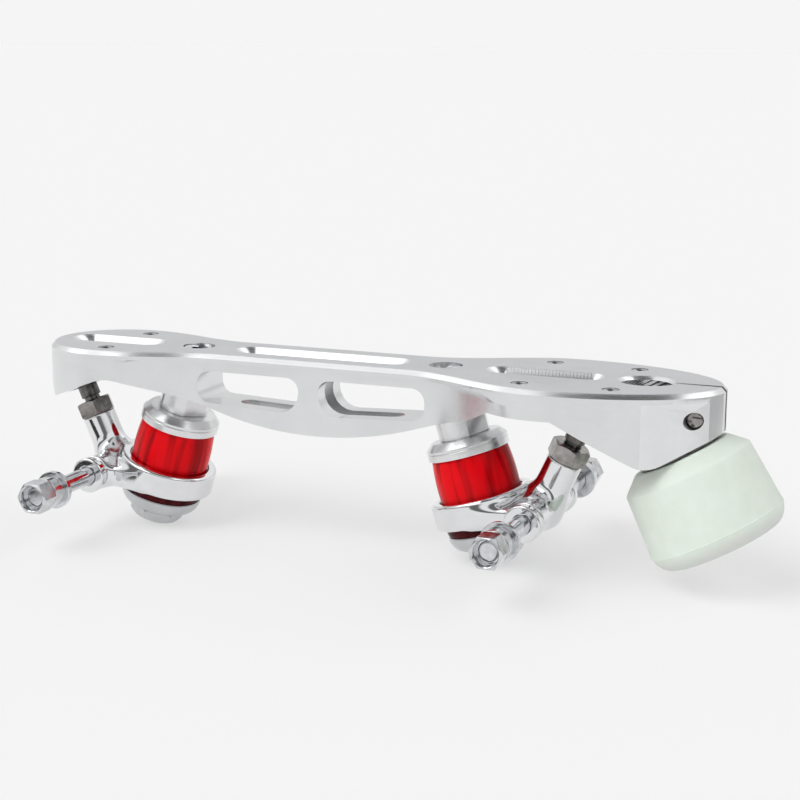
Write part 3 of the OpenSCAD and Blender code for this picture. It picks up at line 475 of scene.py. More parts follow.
def weigh_edges(mesh):
    """Shares of the bevel's width for the plate's edges: all of it on the rim of the deck, where a face meets
    the deck away from its holes, and half of it on the other edges that turn sharply."""
    shape = bmesh.new()
    shape.from_mesh(mesh)
    at = np.array([(e.verts[0].co + e.verts[1].co) / 2 for e in shape.edges]) * 1000 + TO_PART
    turn = np.array([e.calc_face_angle(0) for e in shape.edges])
    shape.free()
    hole = np.any([in_slot(at, slot, 1) for slot in DECK_SLOTS], axis=0)
    holes = [(STOP_X, 0, STOP_ROOM), (KING_X, 0, KING_ROOM), (-KING_X, 0, KING_ROOM)]
    for x, y, room in holes + [(x, y, BOLT_ROOM) for x, y in BOLTS]:
        hole |= np.hypot(at[:, 0] - x, np.abs(at[:, 1]) - y) < room
    share = np.where((at[:, 2] > -0.01) & ~hole, 1.0, 0.5) * (turn > math.radians(PLATE_EDGE))
    mark(mesh, "bevel_weight_edge", share, "EDGE")


def machined_plate():
    """The plate's skin with its lips, cove and slit, its marks, and its edges broken by their shares. The
    broken edges take the plate's second material."""
    mesh = skin("plate")
    at = points_of(mesh) * 1000 + TO_PART
    slope_lips(at)
    draw_cove(at)
    widen_slit(at)
    mesh.vertices.foreach_set("co", ((at - TO_PART) * 0.001).astype(np.float32).ravel())
    mesh.update()
    mark_cuts(mesh, at)
    weigh_edges(mesh)
    obj = break_edges(shown(mesh, PLATE_EDGE), 0.9, PLATE_EDGE)
    obj.modifiers["edge break"].limit_method = "WEIGHT"
    # painted reflection: the broken edges take the darker second material
    obj.modifiers["edge break"].material = 1
    return obj


# The cast hanger as a distance field

# Radius, station and half height of the ring round the kingpin
RING_R, RING_AT, RING_HALF = 19.0, 53.15, 4.85
# Radius, middle and half length of the barrel, shoulders, necks and hubs along the axle
BARREL, SHOULDER, NECK, HUB = (6.3, 0, 18.2), (6.6, 17.4, 0.8), (5.6, 0, 21.0), (6.8, 21.6, 1.8)
# Where the web leaves the ring, its lean, and half its length, width and thickness
WEB_X, WEB_Z, WEB_TILT, WEB_SINK = 66.46, -51.4, math.radians(3.7), 0.5
WEB_HALF = (11.0, 17.6, 4.0)
# Half the arm across its eight flats, its radius where it is round, and the radius and height of its foot
ARM_HALF, ARM_R, FOOT_R, FOOT_H = 6.5, 6.9, 7.3, 5.0
# Radii of the cushion seats and of the relief below, with its station, and of the three bores
SEAT_R, LOWER_SEAT_R, RELIEF_R, RELIEF = 15.6, 16.4, 17.1, 58.7
KING_BORE, AXLE_BORE, PIN_BORE = 5.8, 3.53, 3.13
# The block of cells that holds the hanger, and the size of a cell
HANGER_LOW, HANGER_HIGH, CELL = (45.0, -25.0, -66.0), (103.0, 25.0, -27.0), 0.45


def smooth_min(a, b, k):
    """The lower of two fields, with a fillet about k wide where they meet."""
    h = np.clip(0.5 + 0.5 * (b - a) / k, 0, 1)
    return b + (a - b) * h - k * h * (1 - h)


def smooth_max(a, b, k):
    """The higher of two fields, with an edge about k wide rounded off where they meet."""
    return -smooth_min(-a, -b, k)


def rounded_field(radius, *gaps):
    """Distance to a shape given by how far a point lies outside each of its walls, with its edges rounded."""
    gaps = np.broadcast_arrays(*[g + radius for g in gaps])
    inside = np.minimum(np.maximum.reduce(gaps), 0)
    return inside + np.sqrt(sum(np.maximum(g, 0) ** 2 for g in gaps)) - radius


def hanger_field(u, y, z):
    """Distance to the hanger in its truck's frame: the ring, web, barrel, hubs and eight-sided arm, joined
    with fillets, less the two cushion seats and the bores."""
    du, ay = u - KING_X, np.abs(y)
    ck, sk, cp, sp = math.cos(KING_TILT), math.sin(KING_TILT), math.cos(PIVOT_TILT), math.sin(PIVOT_TILT)
    kx, s = du * ck + z * sk, du * sk - z * ck
    r = np.hypot(kx, y)
    au, az = u - AXLE_X, z + AXLE_DROP
    px, pl = au * cp - az * sp, au * sp + az * cp
    ra = np.hypot(au, az)
    ring = rounded_field(1.3, r - RING_R, np.abs(s - RING_AT) - RING_HALF)
    barrel, shoulder, hub = (rounded_field(edge, ra - radius, np.abs(ay - middle) - half)
                             for edge, (radius, middle, half) in ((0.8, BARREL), (0.5, SHOULDER), (0.8, HUB)))
    neck = np.maximum(ra - NECK[0], ay - NECK[2])
    # the web runs from the ring's middle to the barrel
    wc, ws = math.cos(WEB_TILT), math.sin(WEB_TILT)
    wt, wn = (u - WEB_X) * wc + (z - WEB_Z) * ws, -(u - WEB_X) * ws + (z - WEB_Z) * wc
    long, wide, thick = WEB_HALF
    web = rounded_field(1.6, np.abs(wt - long) - long, ay - wide, np.abs(wn + WEB_SINK) - thick)
    # the arm's eight flats grow round towards the swelling at its foot
    flats = smooth_max(np.maximum(np.abs(px), ay), (np.abs(px) + ay) * math.sqrt(0.5), 1.6) - ARM_HALF
    grown = np.clip((12.5 - pl) / 5.5, 0, 1)
    grown = grown * grown * (3 - 2 * grown)
    flats = flats + (np.hypot(px, y) - ARM_R - flats) * grown
    arm = smooth_max(flats, np.abs(pl - (ARM_HIGH + ARM_LOW) / 2) - (ARM_HIGH - ARM_LOW) / 2, 0.6)
    foot = np.sqrt(px**2 + y**2 + np.maximum(pl - FOOT_H, 0) ** 2 + np.minimum(pl, 0) ** 2) - FOOT_R
    body = smooth_min(smooth_min(ring, web, 4.0), barrel, 4.0)
    body = smooth_min(body, smooth_min(arm, foot, 1.5), 4.5)
    body = smooth_min(smooth_min(body, shoulder, 0.5), np.minimum(neck, hub), 0.4)
    for cut in (
        np.maximum(r - SEAT_R, s + SEAT),
        np.maximum(r - LOWER_SEAT_R, -LOWER_SEAT - s),
        np.maximum(r - RELIEF_R, RELIEF - s),
        r - KING_BORE,
        ra - AXLE_BORE,
        np.maximum(np.hypot(px, y) - PIN_BORE, PIN_START - pl),
    ):
        body = smooth_max(body, -cut, 0.5)
    return body


def field_surface(field, low, high, cell):
    """The zero surface of a field by surface nets: each cell that the surface crosses gets one point, at the
    mean of the crossings on its edges, and each crossed grid edge gets a quad between its four cells.

    The points then slide down the field's gradient to the surface, and the gradient gives the normals.
    """
    axes = [np.arange(a, b + cell, cell, dtype=np.float32) for a, b in zip(low, high)]
    value = field(*np.meshgrid(*axes, indexing="ij", sparse=True)).astype(np.float32)
    total = np.zeros([n - 1 for n in value.shape] + [3], np.float32)
    count = np.zeros(total.shape[:3], np.float32)
    crossings = []
    for axis in range(3):
        head, tail = [slice(None)] * 3, [slice(None)] * 3
        head[axis], tail[axis] = slice(None, -1), slice(1, None)
        v0, v1 = value[tuple(head)], value[tuple(tail)]
        hit = (v0 < 0) != (v1 < 0)
        at = np.argwhere(hit)
        t = v0[hit] / (v0[hit] - v1[hit])
        point = at.astype(np.float32)
        point[:, axis] += t
        others = [k for k in range(3) if k != axis]
        inner = np.all([(at[:, k] > 0) & (at[:, k] < value.shape[k] - 1) for k in others], axis=0)
        at, point, rising = at[inner], point[inner], (v0[hit] < 0)[inner]
        ring = []
        for a, b in ((1, 1), (0, 1), (0, 0), (1, 0)):
            cells = at.copy()
            cells[:, others[0]] -= a
            cells[:, others[1]] -= b
            np.add.at(total, tuple(cells.T), point)
            np.add.at(count, tuple(cells.T), 1)
            ring.append(np.ravel_multi_index(cells.T, count.shape))
        quads = np.stack(ring, 1)
        flip = rising if axis != 1 else ~rising
        quads[~flip] = quads[~flip][:, ::-1]
        crossings.append(quads)
    used = np.flatnonzero(count.ravel())
    points = (total.reshape(-1, 3)[used] / count.ravel()[used, None]) * cell + np.array(low, np.float32)
    number = np.zeros(count.size, np.int64)
    number[used] = np.arange(len(used))
    faces = number[np.concatenate(crossings)]
    points = points.astype(float)
    for _ in range(4):
        here, slope = field(*points.T), gradient(field, points)
        step = here / np.maximum(np.sum(slope**2, axis=1), 0.25)
        points -= np.clip(step, -0.4 * cell, 0.4 * cell)[:, None] * slope
    slope = gradient(field, points)
    return points, faces, slope / np.linalg.norm(slope, axis=1)[:, None]


def gradient(field, points, d=0.02):
    """The field's slope at each point, from differences over twice d along the three axes."""
    steps = np.eye(3) * d
    return np.stack([(field(*(points + e).T) - field(*(points - e).T)) / (2 * d) for e in steps], axis=1)


# Materials


def linear(hex_colour):
    """An sRGB hex colour as linear red, green, blue and alpha."""
    c = np.array([int(hex_colour[i : i + 2], 16) for i in (1, 3, 5)]) / 255
    return (*np.where(c <= 0.04045, c / 12.92, ((c + 0.055) / 1.055) ** 2.4).tolist(), 1.0)


def grey(level):
    """A grey at a level of light, with its alpha."""
    return (level, level, level, 1)


def add(tree, kind, inputs=None, ramp=(), **settings):
    """A node of a kind with its settings; each input is a number, a colour or another node's output. A ramp
    is a row of places and colours, for a node that has one."""
    made = tree.nodes.new(kind)
    for name, value in settings.items():
        setattr(made, name, value)
    for name, value in (inputs or {}).items():
        if isinstance(value, bpy.types.NodeSocket):
            tree.links.new(value, made.inputs[name])
        else:
            made.inputs[name].default_value = value
    while ramp and len(made.color_ramp.elements) < len(ramp):
        made.color_ramp.elements.new(0.5)
    for k, (place, colour) in enumerate(ramp):
        stop = made.color_ramp.elements[k]
        stop.position, stop.color = place, colour
    return made


def new_material(name, **sockets):
    """A material with its node tree, its shader, and the shader's constant sockets set."""
    made = bpy.data.materials.new(name)
    made.use_nodes = True
    shader = made.node_tree.nodes["Principled BSDF"]
    for socket, value in sockets.items():
        shader.inputs[socket.replace("_", " ")].default_value = value
    return made, made.node_tree, shader


def wire(tree, shader, colour, rough, height, distance, strength):
    """Links a material's colour, its roughness and a relief, whose full height is distance in metres, to its
    shader."""
    bump = add(tree, "ShaderNodeBump", {"Height": height, "Distance": distance, "Strength": strength})
    for socket, output in (("Base Color", colour), ("Roughness", rough), ("Normal", bump.outputs["Normal"])):
        tree.links.new(output, shader.inputs[socket])


def machined_aluminium():
    """Machined and polished aluminium: a satin deck, brighter sides with fine polishing lines along the
    plate, ribs left by the cutter in the front slot, and thread in the tapped holes. The tapped holes are
    also painted darker, as painted shade, and the nose's milled flats painted lighter, as a painted
    reflection."""
    made, tree, shader = new_material("machined_polished_aluminium", Metallic=1.0)
    place = add(tree, "ShaderNodeTexCoord").outputs["Object"]
    axis = add(tree, "ShaderNodeSeparateXYZ", {"Vector": place})
    # polishing lines 1 mm wide and 14 mm long; finer ones wouldn't show
    lines = add(tree, "ShaderNodeMapping", {"Vector": place, "Scale": (70, 900, 900)})
    lines = add(tree, "ShaderNodeTexNoise", {"Vector": lines.outputs["Vector"], "Scale": 1.0, "Detail": 3.0})
    cloud = add(tree, "ShaderNodeTexNoise", {"Vector": place, "Scale": 60.0, "Detail": 3.0})
    grit = add(tree, "ShaderNodeTexNoise", {"Vector": place, "Scale": 2600.0, "Detail": 2.0})
    deck = add(tree, "ShaderNodeMapRange", {"Value": axis.outputs["Z"], "From Min": 0.0711,
                                            "From Max": 0.07165}).outputs["Result"]
    tone = add(tree, "ShaderNodeMix", {"Factor": deck, 6: linear("#E4E5E6"), 7: linear("#DEDFE1")},
               data_type="RGBA")
    shade = add(tree, "ShaderNodeMapRange", {"Value": cloud.outputs["Fac"], "From Min": 0.3, "From Max": 0.7,
                                             "To Min": 0.94, "To Max": 1.0})
    tapped = add(tree, "ShaderNodeAttribute", attribute_name="tapped").outputs["Fac"]
    # painted shade: the colour in the tapped holes is lowered by 0.35
    shade = add(tree, "ShaderNodeMath", {0: tapped, 1: -0.35, 2: shade.outputs["Result"]},
                operation="MULTIPLY_ADD")
    # painted reflection: the nose's milled flats are painted 0.06 lighter
    milled = add(tree, "ShaderNodeAttribute", attribute_name="milled").outputs["Fac"]
    shade = add(tree, "ShaderNodeMath", {0: milled, 1: 0.06, 2: shade.outputs[0]}, operation="MULTIPLY_ADD")
    colour = add(tree, "ShaderNodeVectorMath", {0: tone.outputs[2], "Scale": shade.outputs[0]},
                 operation="SCALE")
    side = add(tree, "ShaderNodeMapRange", {"Value": lines.outputs["Fac"], "From Min": 0.3, "From Max": 0.7,
                                            "To Min": 0.22, "To Max": 0.27})
    top = add(tree, "ShaderNodeMapRange", {"Value": grit.outputs["Fac"], "From Min": 0.3, "From Max": 0.7,
                                           "To Min": 0.3, "To Max": 0.4})
    rough = add(tree, "ShaderNodeMix", {"Factor": deck, 2: side.outputs["Result"], 3: top.outputs["Result"]},
                data_type="FLOAT")
    # ribs 1.3 mm apart and 0.12 mm high; thread of 1.41 mm pitch and 0.3 mm high
    ribs = add(tree, "ShaderNodeMath", {0: axis.outputs["X"], 1: 2 * math.pi / 0.0013}, operation="MULTIPLY")
    ribs = add(tree, "ShaderNodeMath", {0: ribs.outputs[0]}, operation="SINE")
    ribbed = add(tree, "ShaderNodeAttribute", attribute_name="ribbed").outputs["Fac"]
    ribs = add(tree, "ShaderNodeMath", {0: ribs.outputs[0], 1: ribbed}, operation="MULTIPLY")
    depth = add(tree, "ShaderNodeAttribute", attribute_name="depth").outputs["Fac"]
    thread = add(tree, "ShaderNodeMath", {0: depth, 1: 2 * math.pi / 1.41}, operation="MULTIPLY")
    thread = add(tree, "ShaderNodeMath", {0: thread.outputs[0]}, operation="SINE")
    thread = add(tree, "ShaderNodeMath", {0: thread.outputs[0], 1: tapped}, operation="MULTIPLY")
    height = add(tree, "ShaderNodeMath", {0: ribs.outputs[0], 1: 0.12}, operation="MULTIPLY")
    sand = add(tree, "ShaderNodeMath", {0: grit.outputs["Fac"], 1: deck}, operation="MULTIPLY")
    # the polishing lines are 0.5 and the deck's grit 1.2 thousandths of a millimetre high
    for waves, high in ((thread.outputs[0], 0.3), (lines.outputs["Fac"], 0.0005), (sand.outputs[0], 0.0012)):
        height = add(tree, "ShaderNodeMath", {0: waves, 1: high, 2: height.outputs[0]},
                     operation="MULTIPLY_ADD")
    wire(tree, shader, colour.outputs["Vector"], rough.outputs[0], height.outputs[0], 0.001, 1.0)
    return made


def chromed_casting():
    """Bright chrome on a polished casting: a mirror with faint waviness about 6 mm across, and hazier
    patches."""
    made, tree, shader = new_material("chromed_casting", Metallic=1.0)
    place = add(tree, "ShaderNodeTexCoord").outputs["Object"]
    haze = add(tree, "ShaderNodeTexNoise", {"Vector": place, "Scale": 160.0, "Detail": 3.0}).outputs["Fac"]
    tone = add(tree, "ShaderNodeValToRGB", {"Fac": haze},
               ramp=((0, linear("#DCDDDF")), (1, linear("#EDEEEF"))))
    rough = add(tree, "ShaderNodeMapRange", {"Value": haze, "From Min": 0.35, "From Max": 0.75,
                                             "To Min": 0.03, "To Max": 0.11})
    wire(tree, shader, tone.outputs["Color"], rough.outputs["Result"], haze, 0.0001, 0.12)
    return made


def turned_aluminium(name, dark, light):
    """Lathe-turned aluminium: fine rings 0.4 mm apart that follow the outline, and gloss drawn out across
    them; finer rings wouldn't show."""
    made, tree, shader = new_material(name, Metallic=1.0, Anisotropic=0.55)
    along = add(tree, "ShaderNodeAttribute", attribute_name="along").outputs["Fac"]
    turned = add(tree, "ShaderNodeAttribute", attribute_name="turned").outputs["Vector"]
    grain = add(tree, "ShaderNodeAttribute", attribute_name="grain").outputs["Vector"]
    grain = add(tree, "ShaderNodeVectorTransform", {"Vector": grain}, vector_type="VECTOR",
                convert_from="OBJECT", convert_to="WORLD")
    tree.links.new(grain.outputs["Vector"], shader.inputs["Tangent"])
    feed = add(tree, "ShaderNodeMath", {0: along, 1: 2 * math.pi / 0.4}, operation="MULTIPLY")
    feed = add(tree, "ShaderNodeMath", {0: feed.outputs[0]}, operation="SINE")
    cloud = add(tree, "ShaderNodeTexNoise", {"Vector": turned, "Scale": 0.22, "Detail": 3.0})
    tone = add(tree, "ShaderNodeValToRGB", {"Fac": cloud.outputs["Fac"]},
               ramp=((0, linear(dark)), (1, linear(light))))
    rough = add(tree, "ShaderNodeMapRange", {"Value": feed.outputs[0], "From Min": -1.0, "From Max": 1.0,
                                             "To Min": 0.2, "To Max": 0.3})
    wire(tree, shader, tone.outputs["Color"], rough.outputs["Result"], feed.outputs[0], 0.000012, 0.6)
    return made


def steel(name, dark, light, low, high):
    """Metal with a plated, oiled or dull skin: two tones in patches about 3 mm across, and scratches 0.8 mm
    wide, because finer ones wouldn't show."""
    made, tree, shader = new_material(name, Metallic=1.0)
    place = add(tree, "ShaderNodeTexCoord").outputs["Object"]
    patch = add(tree, "ShaderNodeTexNoise", {"Vector": place, "Scale": 330.0, "Detail": 4.0,
                                             "Roughness": 0.6}).outputs["Fac"]
    tone = add(tree, "ShaderNodeValToRGB", {"Fac": patch}, ramp=((0.3, linear(dark)), (0.7, linear(light))))
    rough = add(tree, "ShaderNodeMapRange", {"Value": patch, "From Min": 0.3, "From Max": 0.7,
                                             "To Min": low, "To Max": high})
    lines = add(tree, "ShaderNodeMapping", {"Vector": place, "Scale": (1200, 200, 1200)})
    lines = add(tree, "ShaderNodeTexNoise", {"Vector": lines.outputs["Vector"], "Scale": 1.0, "Detail": 2.0})
    wire(tree, shader, tone.outputs["Color"], rough.outputs["Result"], lines.outputs["Fac"], 0.00003, 0.4)
    return made


def cast_urethane(name, deep, bright, clear):
    """Cast polyurethane: a slightly clear elastomer with soft darker and brighter streaks along its height,
    4 mm wide, at random, and painted shade that darkens it towards the seat at its lower end."""
    made, tree, shader = new_material(name, IOR=1.5, Transmission_Weight=clear, Subsurface_Weight=0.15,
                                      Subsurface_Radius=(1.0, 0.05, 0.05), Subsurface_Scale=0.003,
                                      Specular_IOR_Level=0.05)
    turned = add(tree, "ShaderNodeAttribute", attribute_name="turned").outputs["Vector"]
    streak = add(tree, "ShaderNodeMapping", {"Vector": turned, "Scale": (0.25, 0.25, 0.02)})
    streak = add(tree, "ShaderNodeTexNoise", {"Vector": streak.outputs["Vector"], "Scale": 1.0,
                                              "Detail": 2.0}).outputs["Fac"]
    tone = add(tree, "ShaderNodeValToRGB", {"Fac": streak},
               ramp=((0.36, linear(deep)), (0.56, linear(bright))))
    height = add(tree, "ShaderNodeSeparateXYZ", {"Vector": turned}).outputs["Z"]
    # painted shade: the colour darkens to 0.55 towards the seat; the lower cushion, below that range, takes
    # 0.55 throughout
    seat = add(tree, "ShaderNodeMapRange", {"Value": height, "From Min": SEAT + 1, "From Max": SEAT + 5,
                                            "To Min": 0.55, "To Max": 1.0})
    colour = add(tree, "ShaderNodeVectorMath", {0: tone.outputs["Color"], "Scale": seat.outputs["Result"]},
                 operation="SCALE")
    rough = add(tree, "ShaderNodeMapRange", {"Value": streak, "From Min": 0.3, "From Max": 0.7,
                                             "To Min": 0.14, "To Max": 0.24})
    wavy = add(tree, "ShaderNodeTexNoise", {"Vector": turned, "Scale": 1.2, "Detail": 2.0})
    wire(tree, shader, colour.outputs["Vector"], rough.outputs["Result"], wavy.outputs["Fac"], 0.00006, 0.3)
    return made


def moulded_rubber():
    """Pale moulded rubber: matt, with a fine moulded skin 0.5 mm across, faint cloudy patches, and a foot
    below the moulding line painted greyer, as painted shade where it faces down."""
    made, tree, shader = new_material("pale_moulded_rubber", Subsurface_Weight=0.12, IOR=1.5,
                                      Subsurface_Radius=(1.0, 1.0, 0.9), Subsurface_Scale=0.003,
                                      Specular_IOR_Level=0.35)
    turned = add(tree, "ShaderNodeAttribute", attribute_name="turned").outputs["Vector"]
    cloud = add(tree, "ShaderNodeTexNoise", {"Vector": turned, "Scale": 0.16, "Detail": 4.0})
    tone = add(tree, "ShaderNodeValToRGB", {"Fac": cloud.outputs["Fac"]},
               ramp=((0.3, linear("#E5EEE3")), (0.7, linear("#EAF3E9"))))
    height = add(tree, "ShaderNodeSeparateXYZ", {"Vector": turned}).outputs["Z"]
    # painted shade: below the moulding line the foot, which faces down, is painted greyer
    foot_shade = add(tree, "ShaderNodeMapRange", {"Value": height, "From Min": MOULD_LINE - 0.2,
                                            "From Max": RUBBER_FOOT + 1})
    colour = add(tree, "ShaderNodeMix", {"Factor": foot_shade.outputs["Result"], 6: tone.outputs["Color"],
                                         7: linear("#DADDD9")}, data_type="RGBA")
    moulded = add(tree, "ShaderNodeTexNoise", {"Vector": turned, "Scale": 2.0, "Detail": 3.0}).outputs["Fac"]
    rough = add(tree, "ShaderNodeMapRange", {"Value": moulded, "From Min": 0.3, "From Max": 0.7,
                                             "To Min": 0.45, "To Max": 0.6})
    wire(tree, shader, colour.outputs[2], rough.outputs["Result"], moulded, 0.00008, 0.25)
    return made


def moulded_nylon():
    """Black moulded nylon of the pivot cups: satin, with a fine spark-eroded grain 0.3 mm across."""
    made, tree, shader = new_material("black_moulded_nylon", IOR=1.53)
    place = add(tree, "ShaderNodeTexCoord").outputs["Object"]
    grain = add(tree, "ShaderNodeTexNoise", {"Vector": place, "Scale": 3300.0, "Detail": 2.0}).outputs["Fac"]
    tone = add(tree, "ShaderNodeValToRGB", {"Fac": grain},
               ramp=((0, linear("#161617")), (1, linear("#242426"))))
    rough = add(tree, "ShaderNodeMapRange", {"Value": grain, "To Min": 0.35, "To Max": 0.55})
    wire(tree, shader, tone.outputs["Color"], rough.outputs["Result"], grain, 0.00005, 0.5)
    return made


FINISH = {
    "plate_aluminium": machined_aluminium(),
    "turned_aluminium": turned_aluminium("lathe_turned_aluminium", "#DADBDC", "#F0F0F1"),
    "truck_chrome": chromed_casting(),
    "plated_steel": steel("nickel_plated_steel", "#C3C5C8", "#E2E3E5", 0.08, 0.2),
    "dark_steel": steel("oiled_black_steel", "#4C4A49", "#7C7977", 0.14, 0.28),
    "red_cushion": cast_urethane("clear_red_urethane", "#AE0008", "#FA0414", 0.15),
    "dark_red_cushion": cast_urethane("dark_red_urethane", "#4A0D13", "#6E1A21", 0.05),
    "toe_stop_rubber": moulded_rubber(),
    "black_plastic": moulded_nylon(),
}
# The lock nuts and the pinch bolt are paler than the other dark steel
WAXED_STEEL = steel("waxed_steel", "#85817E", "#B4B0AD", 0.1, 0.22)
# The plate's broken edges are painted darker, as a painted reflection
PAINTED_DARK_EDGES = steel("painted_dark_edge_aluminium", "#808183", "#B4B5B7", 0.2, 0.32)
# The cups and nuts under the trucks take a darker copy of the turned aluminium, as painted shade
SHADED_TURNED = turned_aluminium("shaded_turned_aluminium", "#BABBBD", "#D4D5D7")

SLOTS = {piece["node"]: piece["material_slot"] for piece in frame["record"]["subparts"]}


def dress(obj, body, node, finish=None):
    """Gives a piece its CAD node's finish and the body that it moves with, and lets it stand for the node."""
    obj.data.materials.clear()
    obj.data.materials.append(finish or FINISH[SLOTS[node]])
    if body:
        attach(obj, body)
    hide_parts(node)
    return obj


# The plate, its trucks' hardware and the toe stop's stem

plate = dress(machined_plate(), "plate", "plate")
# the second material paints the plate's broken edges darker, a painted reflection
plate.data.materials.append(PAINTED_DARK_EDGES)
dress(pinch_bolt(), "plate", "pinch_bolt", WAXED_STEEL)
dress(machined("toe_stop_stem", 0.2), "toe_stop", "toe_stop_stem")
for end in ("toe", "heel"):
    truck, king, pivot = end + "_truck", TRUCK[end] @ KING, TRUCK[end] @ PIVOT
    dress(kingpin(end + "_kingpin_turned", king), "plate", end + "_kingpin")
    dress(machined(end + "_collar", 0.3, axis=king), "plate", end + "_collar")
    dress(pivot_pin(end + "_pivot_pin_turned", pivot), truck, end + "_pivot_pin")
    for piece in ("axle", "axle_spacers", "axle_washers"):
        dress(machined(end + "_" + piece), truck, end + "_" + piece)
    frame["nodes"][end + "_pivot_cup"].material_slots[0].material = FINISH["black_plastic"]
    nut = hex_nut(end + "_kingpin_nut_turned", [king], flat=18, low=PIN_FOOT, high=NUT_TOP, bore=PIN_HOLE,
                  end_r=8.8, turn=30)
    # painted shade: the kingpin nut takes the darker copy of the turned aluminium
    dress(nut, "plate", end + "_kingpin_nut", SHADED_TURNED)
    nut = hex_nut(end + "_lock_nut_milled", [pivot], flat=13, low=ARM_HIGH, high=27.2, bore=3.2, end_r=6.2)
    dress(nut, truck, end + "_lock_nut", WAXED_STEEL)
    nut = hex_nut(end + "_axle_nuts_milled", [TRUCK[end] @ m for m in AXLE_ENDS], flat=11, low=53.5,
                  high=61.5, bore=3.6, end_r=5.15, hollow=(4.5, 3.4))
    dress(nut, truck, end + "_axle_nuts")

# The caps, cups and cushions round the kingpins, and the toe stop

for end in ("toe", "heel"):
    king = TRUCK[end] @ KING
    dress(upper_cap(end + "_upper_cap_turned", king), "plate", end + "_upper_cap")
    # painted shade: the lower cup takes the darker copy of the turned aluminium
    dress(lower_cup(end + "_lower_cup_turned", king), "plate", end + "_lower_cup", SHADED_TURNED)
    obj = dress(upper_cushion(end + "_upper_cushion_cast", king), None, end + "_upper_cushion")
    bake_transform(obj)
    obj = dress(lower_cushion(end + "_lower_cushion_cast", king), None, end + "_lower_cushion")
    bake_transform(obj)
dress(toe_stop_washer(), "toe_stop_collar", "toe_stop_washer")
dress(toe_stop_rubber(), "toe_stop", "toe_stop_rubber")

# The hangers

shell, quads, normals = field_surface(hanger_field, HANGER_LOW, HANGER_HIGH, CELL)
for end in ("toe", "heel"):
    obj = solid(end + "_hanger_casting", placed(shell, TRUCK[end]), quads, 0)
    turn = np.array(TRUCK[end])[:3, :3]
    obj.data.normals_split_custom_set_from_vertices((normals @ turn.T).tolist())
    dress(obj, end + "_truck", end + "_hanger")

# The studio

FLOOR_TONE, FLOOR_REACH = "#F5F5F5", 80.0
# The share of the floor that is even white where it is seen, and the sky's level at the horizon
EVEN_SHARE, HORIZON = 0.55, 0.913
# Level ways to the right of the photograph and to its front
TO_RIGHT, TO_FRONT = (0.9265, 0.3764, 0), (0.3764, -0.9265, 0)
# Overhead from left to right, as places and levels: a soft box, a grey panel, a dark gap and a lesser box
OVERHEAD = ((0.0, 2.2), (0.17, 2.2), (0.2, 1.0), (0.33, 1.0),
            (0.36, 0.15), (0.7, 0.15), (0.76, 1.7), (1.0, 1.7))
# The levels of the soft box in front on the left, and of the band over the horizon, behind and in front
FRONT_BOX, BAND_BEHIND, BAND_FRONT = 2.6, 0.72, 0.15
# The lamp's strength, breadth and place
LAMP, LAMP_ANGLE, LAMP_FROM = 0.88, math.radians(50), Vector((-0.395, -0.507, 0.766))


def sheet(name, corners):
    """A four-sided sheet from its corners in metres."""
    return solid(name, np.array(corners), np.array([[0, 1, 2, 3]]), 0)


def pale_floor():
    """A pale floor. Seen straight, mirrored or through the cushions, a share of it is even white, so that
    shadows stay light."""
    far = FLOOR_REACH
    floor = sheet("floor", [[-far, -far, 0], [far, -far, 0], [far, far, 0], [-far, far, 0]])
    made, tree, shader = new_material("matt_white_floor", Base_Color=linear(FLOOR_TONE), Roughness=1.0,
                                      Specular_IOR_Level=0.0)
    path = add(tree, "ShaderNodeLightPath").outputs
    seen = path["Is Camera Ray"]
    for ray in ("Is Glossy Ray", "Is Transmission Ray"):
        seen = add(tree, "ShaderNodeMath", {0: seen, 1: path[ray]}, operation="MAXIMUM").outputs[0]
    share = add(tree, "ShaderNodeMath", {0: seen, 1: EVEN_SHARE}, operation="MULTIPLY")
    even = add(tree, "ShaderNodeEmission", {"Color": linear(FLOOR_TONE), "Strength": 1.0})
    both = add(tree, "ShaderNodeMixShader", {0: share.outputs[0], 1: shader.outputs["BSDF"],
                                             2: even.outputs["Emission"]})
    tree.links.new(both.outputs["Shader"], tree.nodes["Material Output"].inputs["Surface"])
    floor.data.materials.append(made)
    return floor


def mirrored_cards():
    """A grey card that stands to the right and a black one that lies in front of the heel. They only show in
    bright metal, and throw no shade."""
    cards = [sheet("grey_card", [[0.3, -0.1, 0], [0.3, -0.1, 0.09], [0.3, 0.3, 0.09], [0.3, 0.3, 0]]),
             sheet("black_card", [[-0.24, -0.165, 5e-4], [-0.165, -0.165, 5e-4], [-0.165, -0.095, 5e-4],
                                  [-0.24, -0.095, 5e-4]])]
    for card, tone in zip(cards, ("#C0C0C0", "#1C1C1C")):
        card.data.materials.append(new_material(card.name, Base_Color=linear(tone), Roughness=1.0)[0])
        card.visible_camera = card.visible_diffuse = card.visible_shadow = card.visible_transmission = False
    return cards


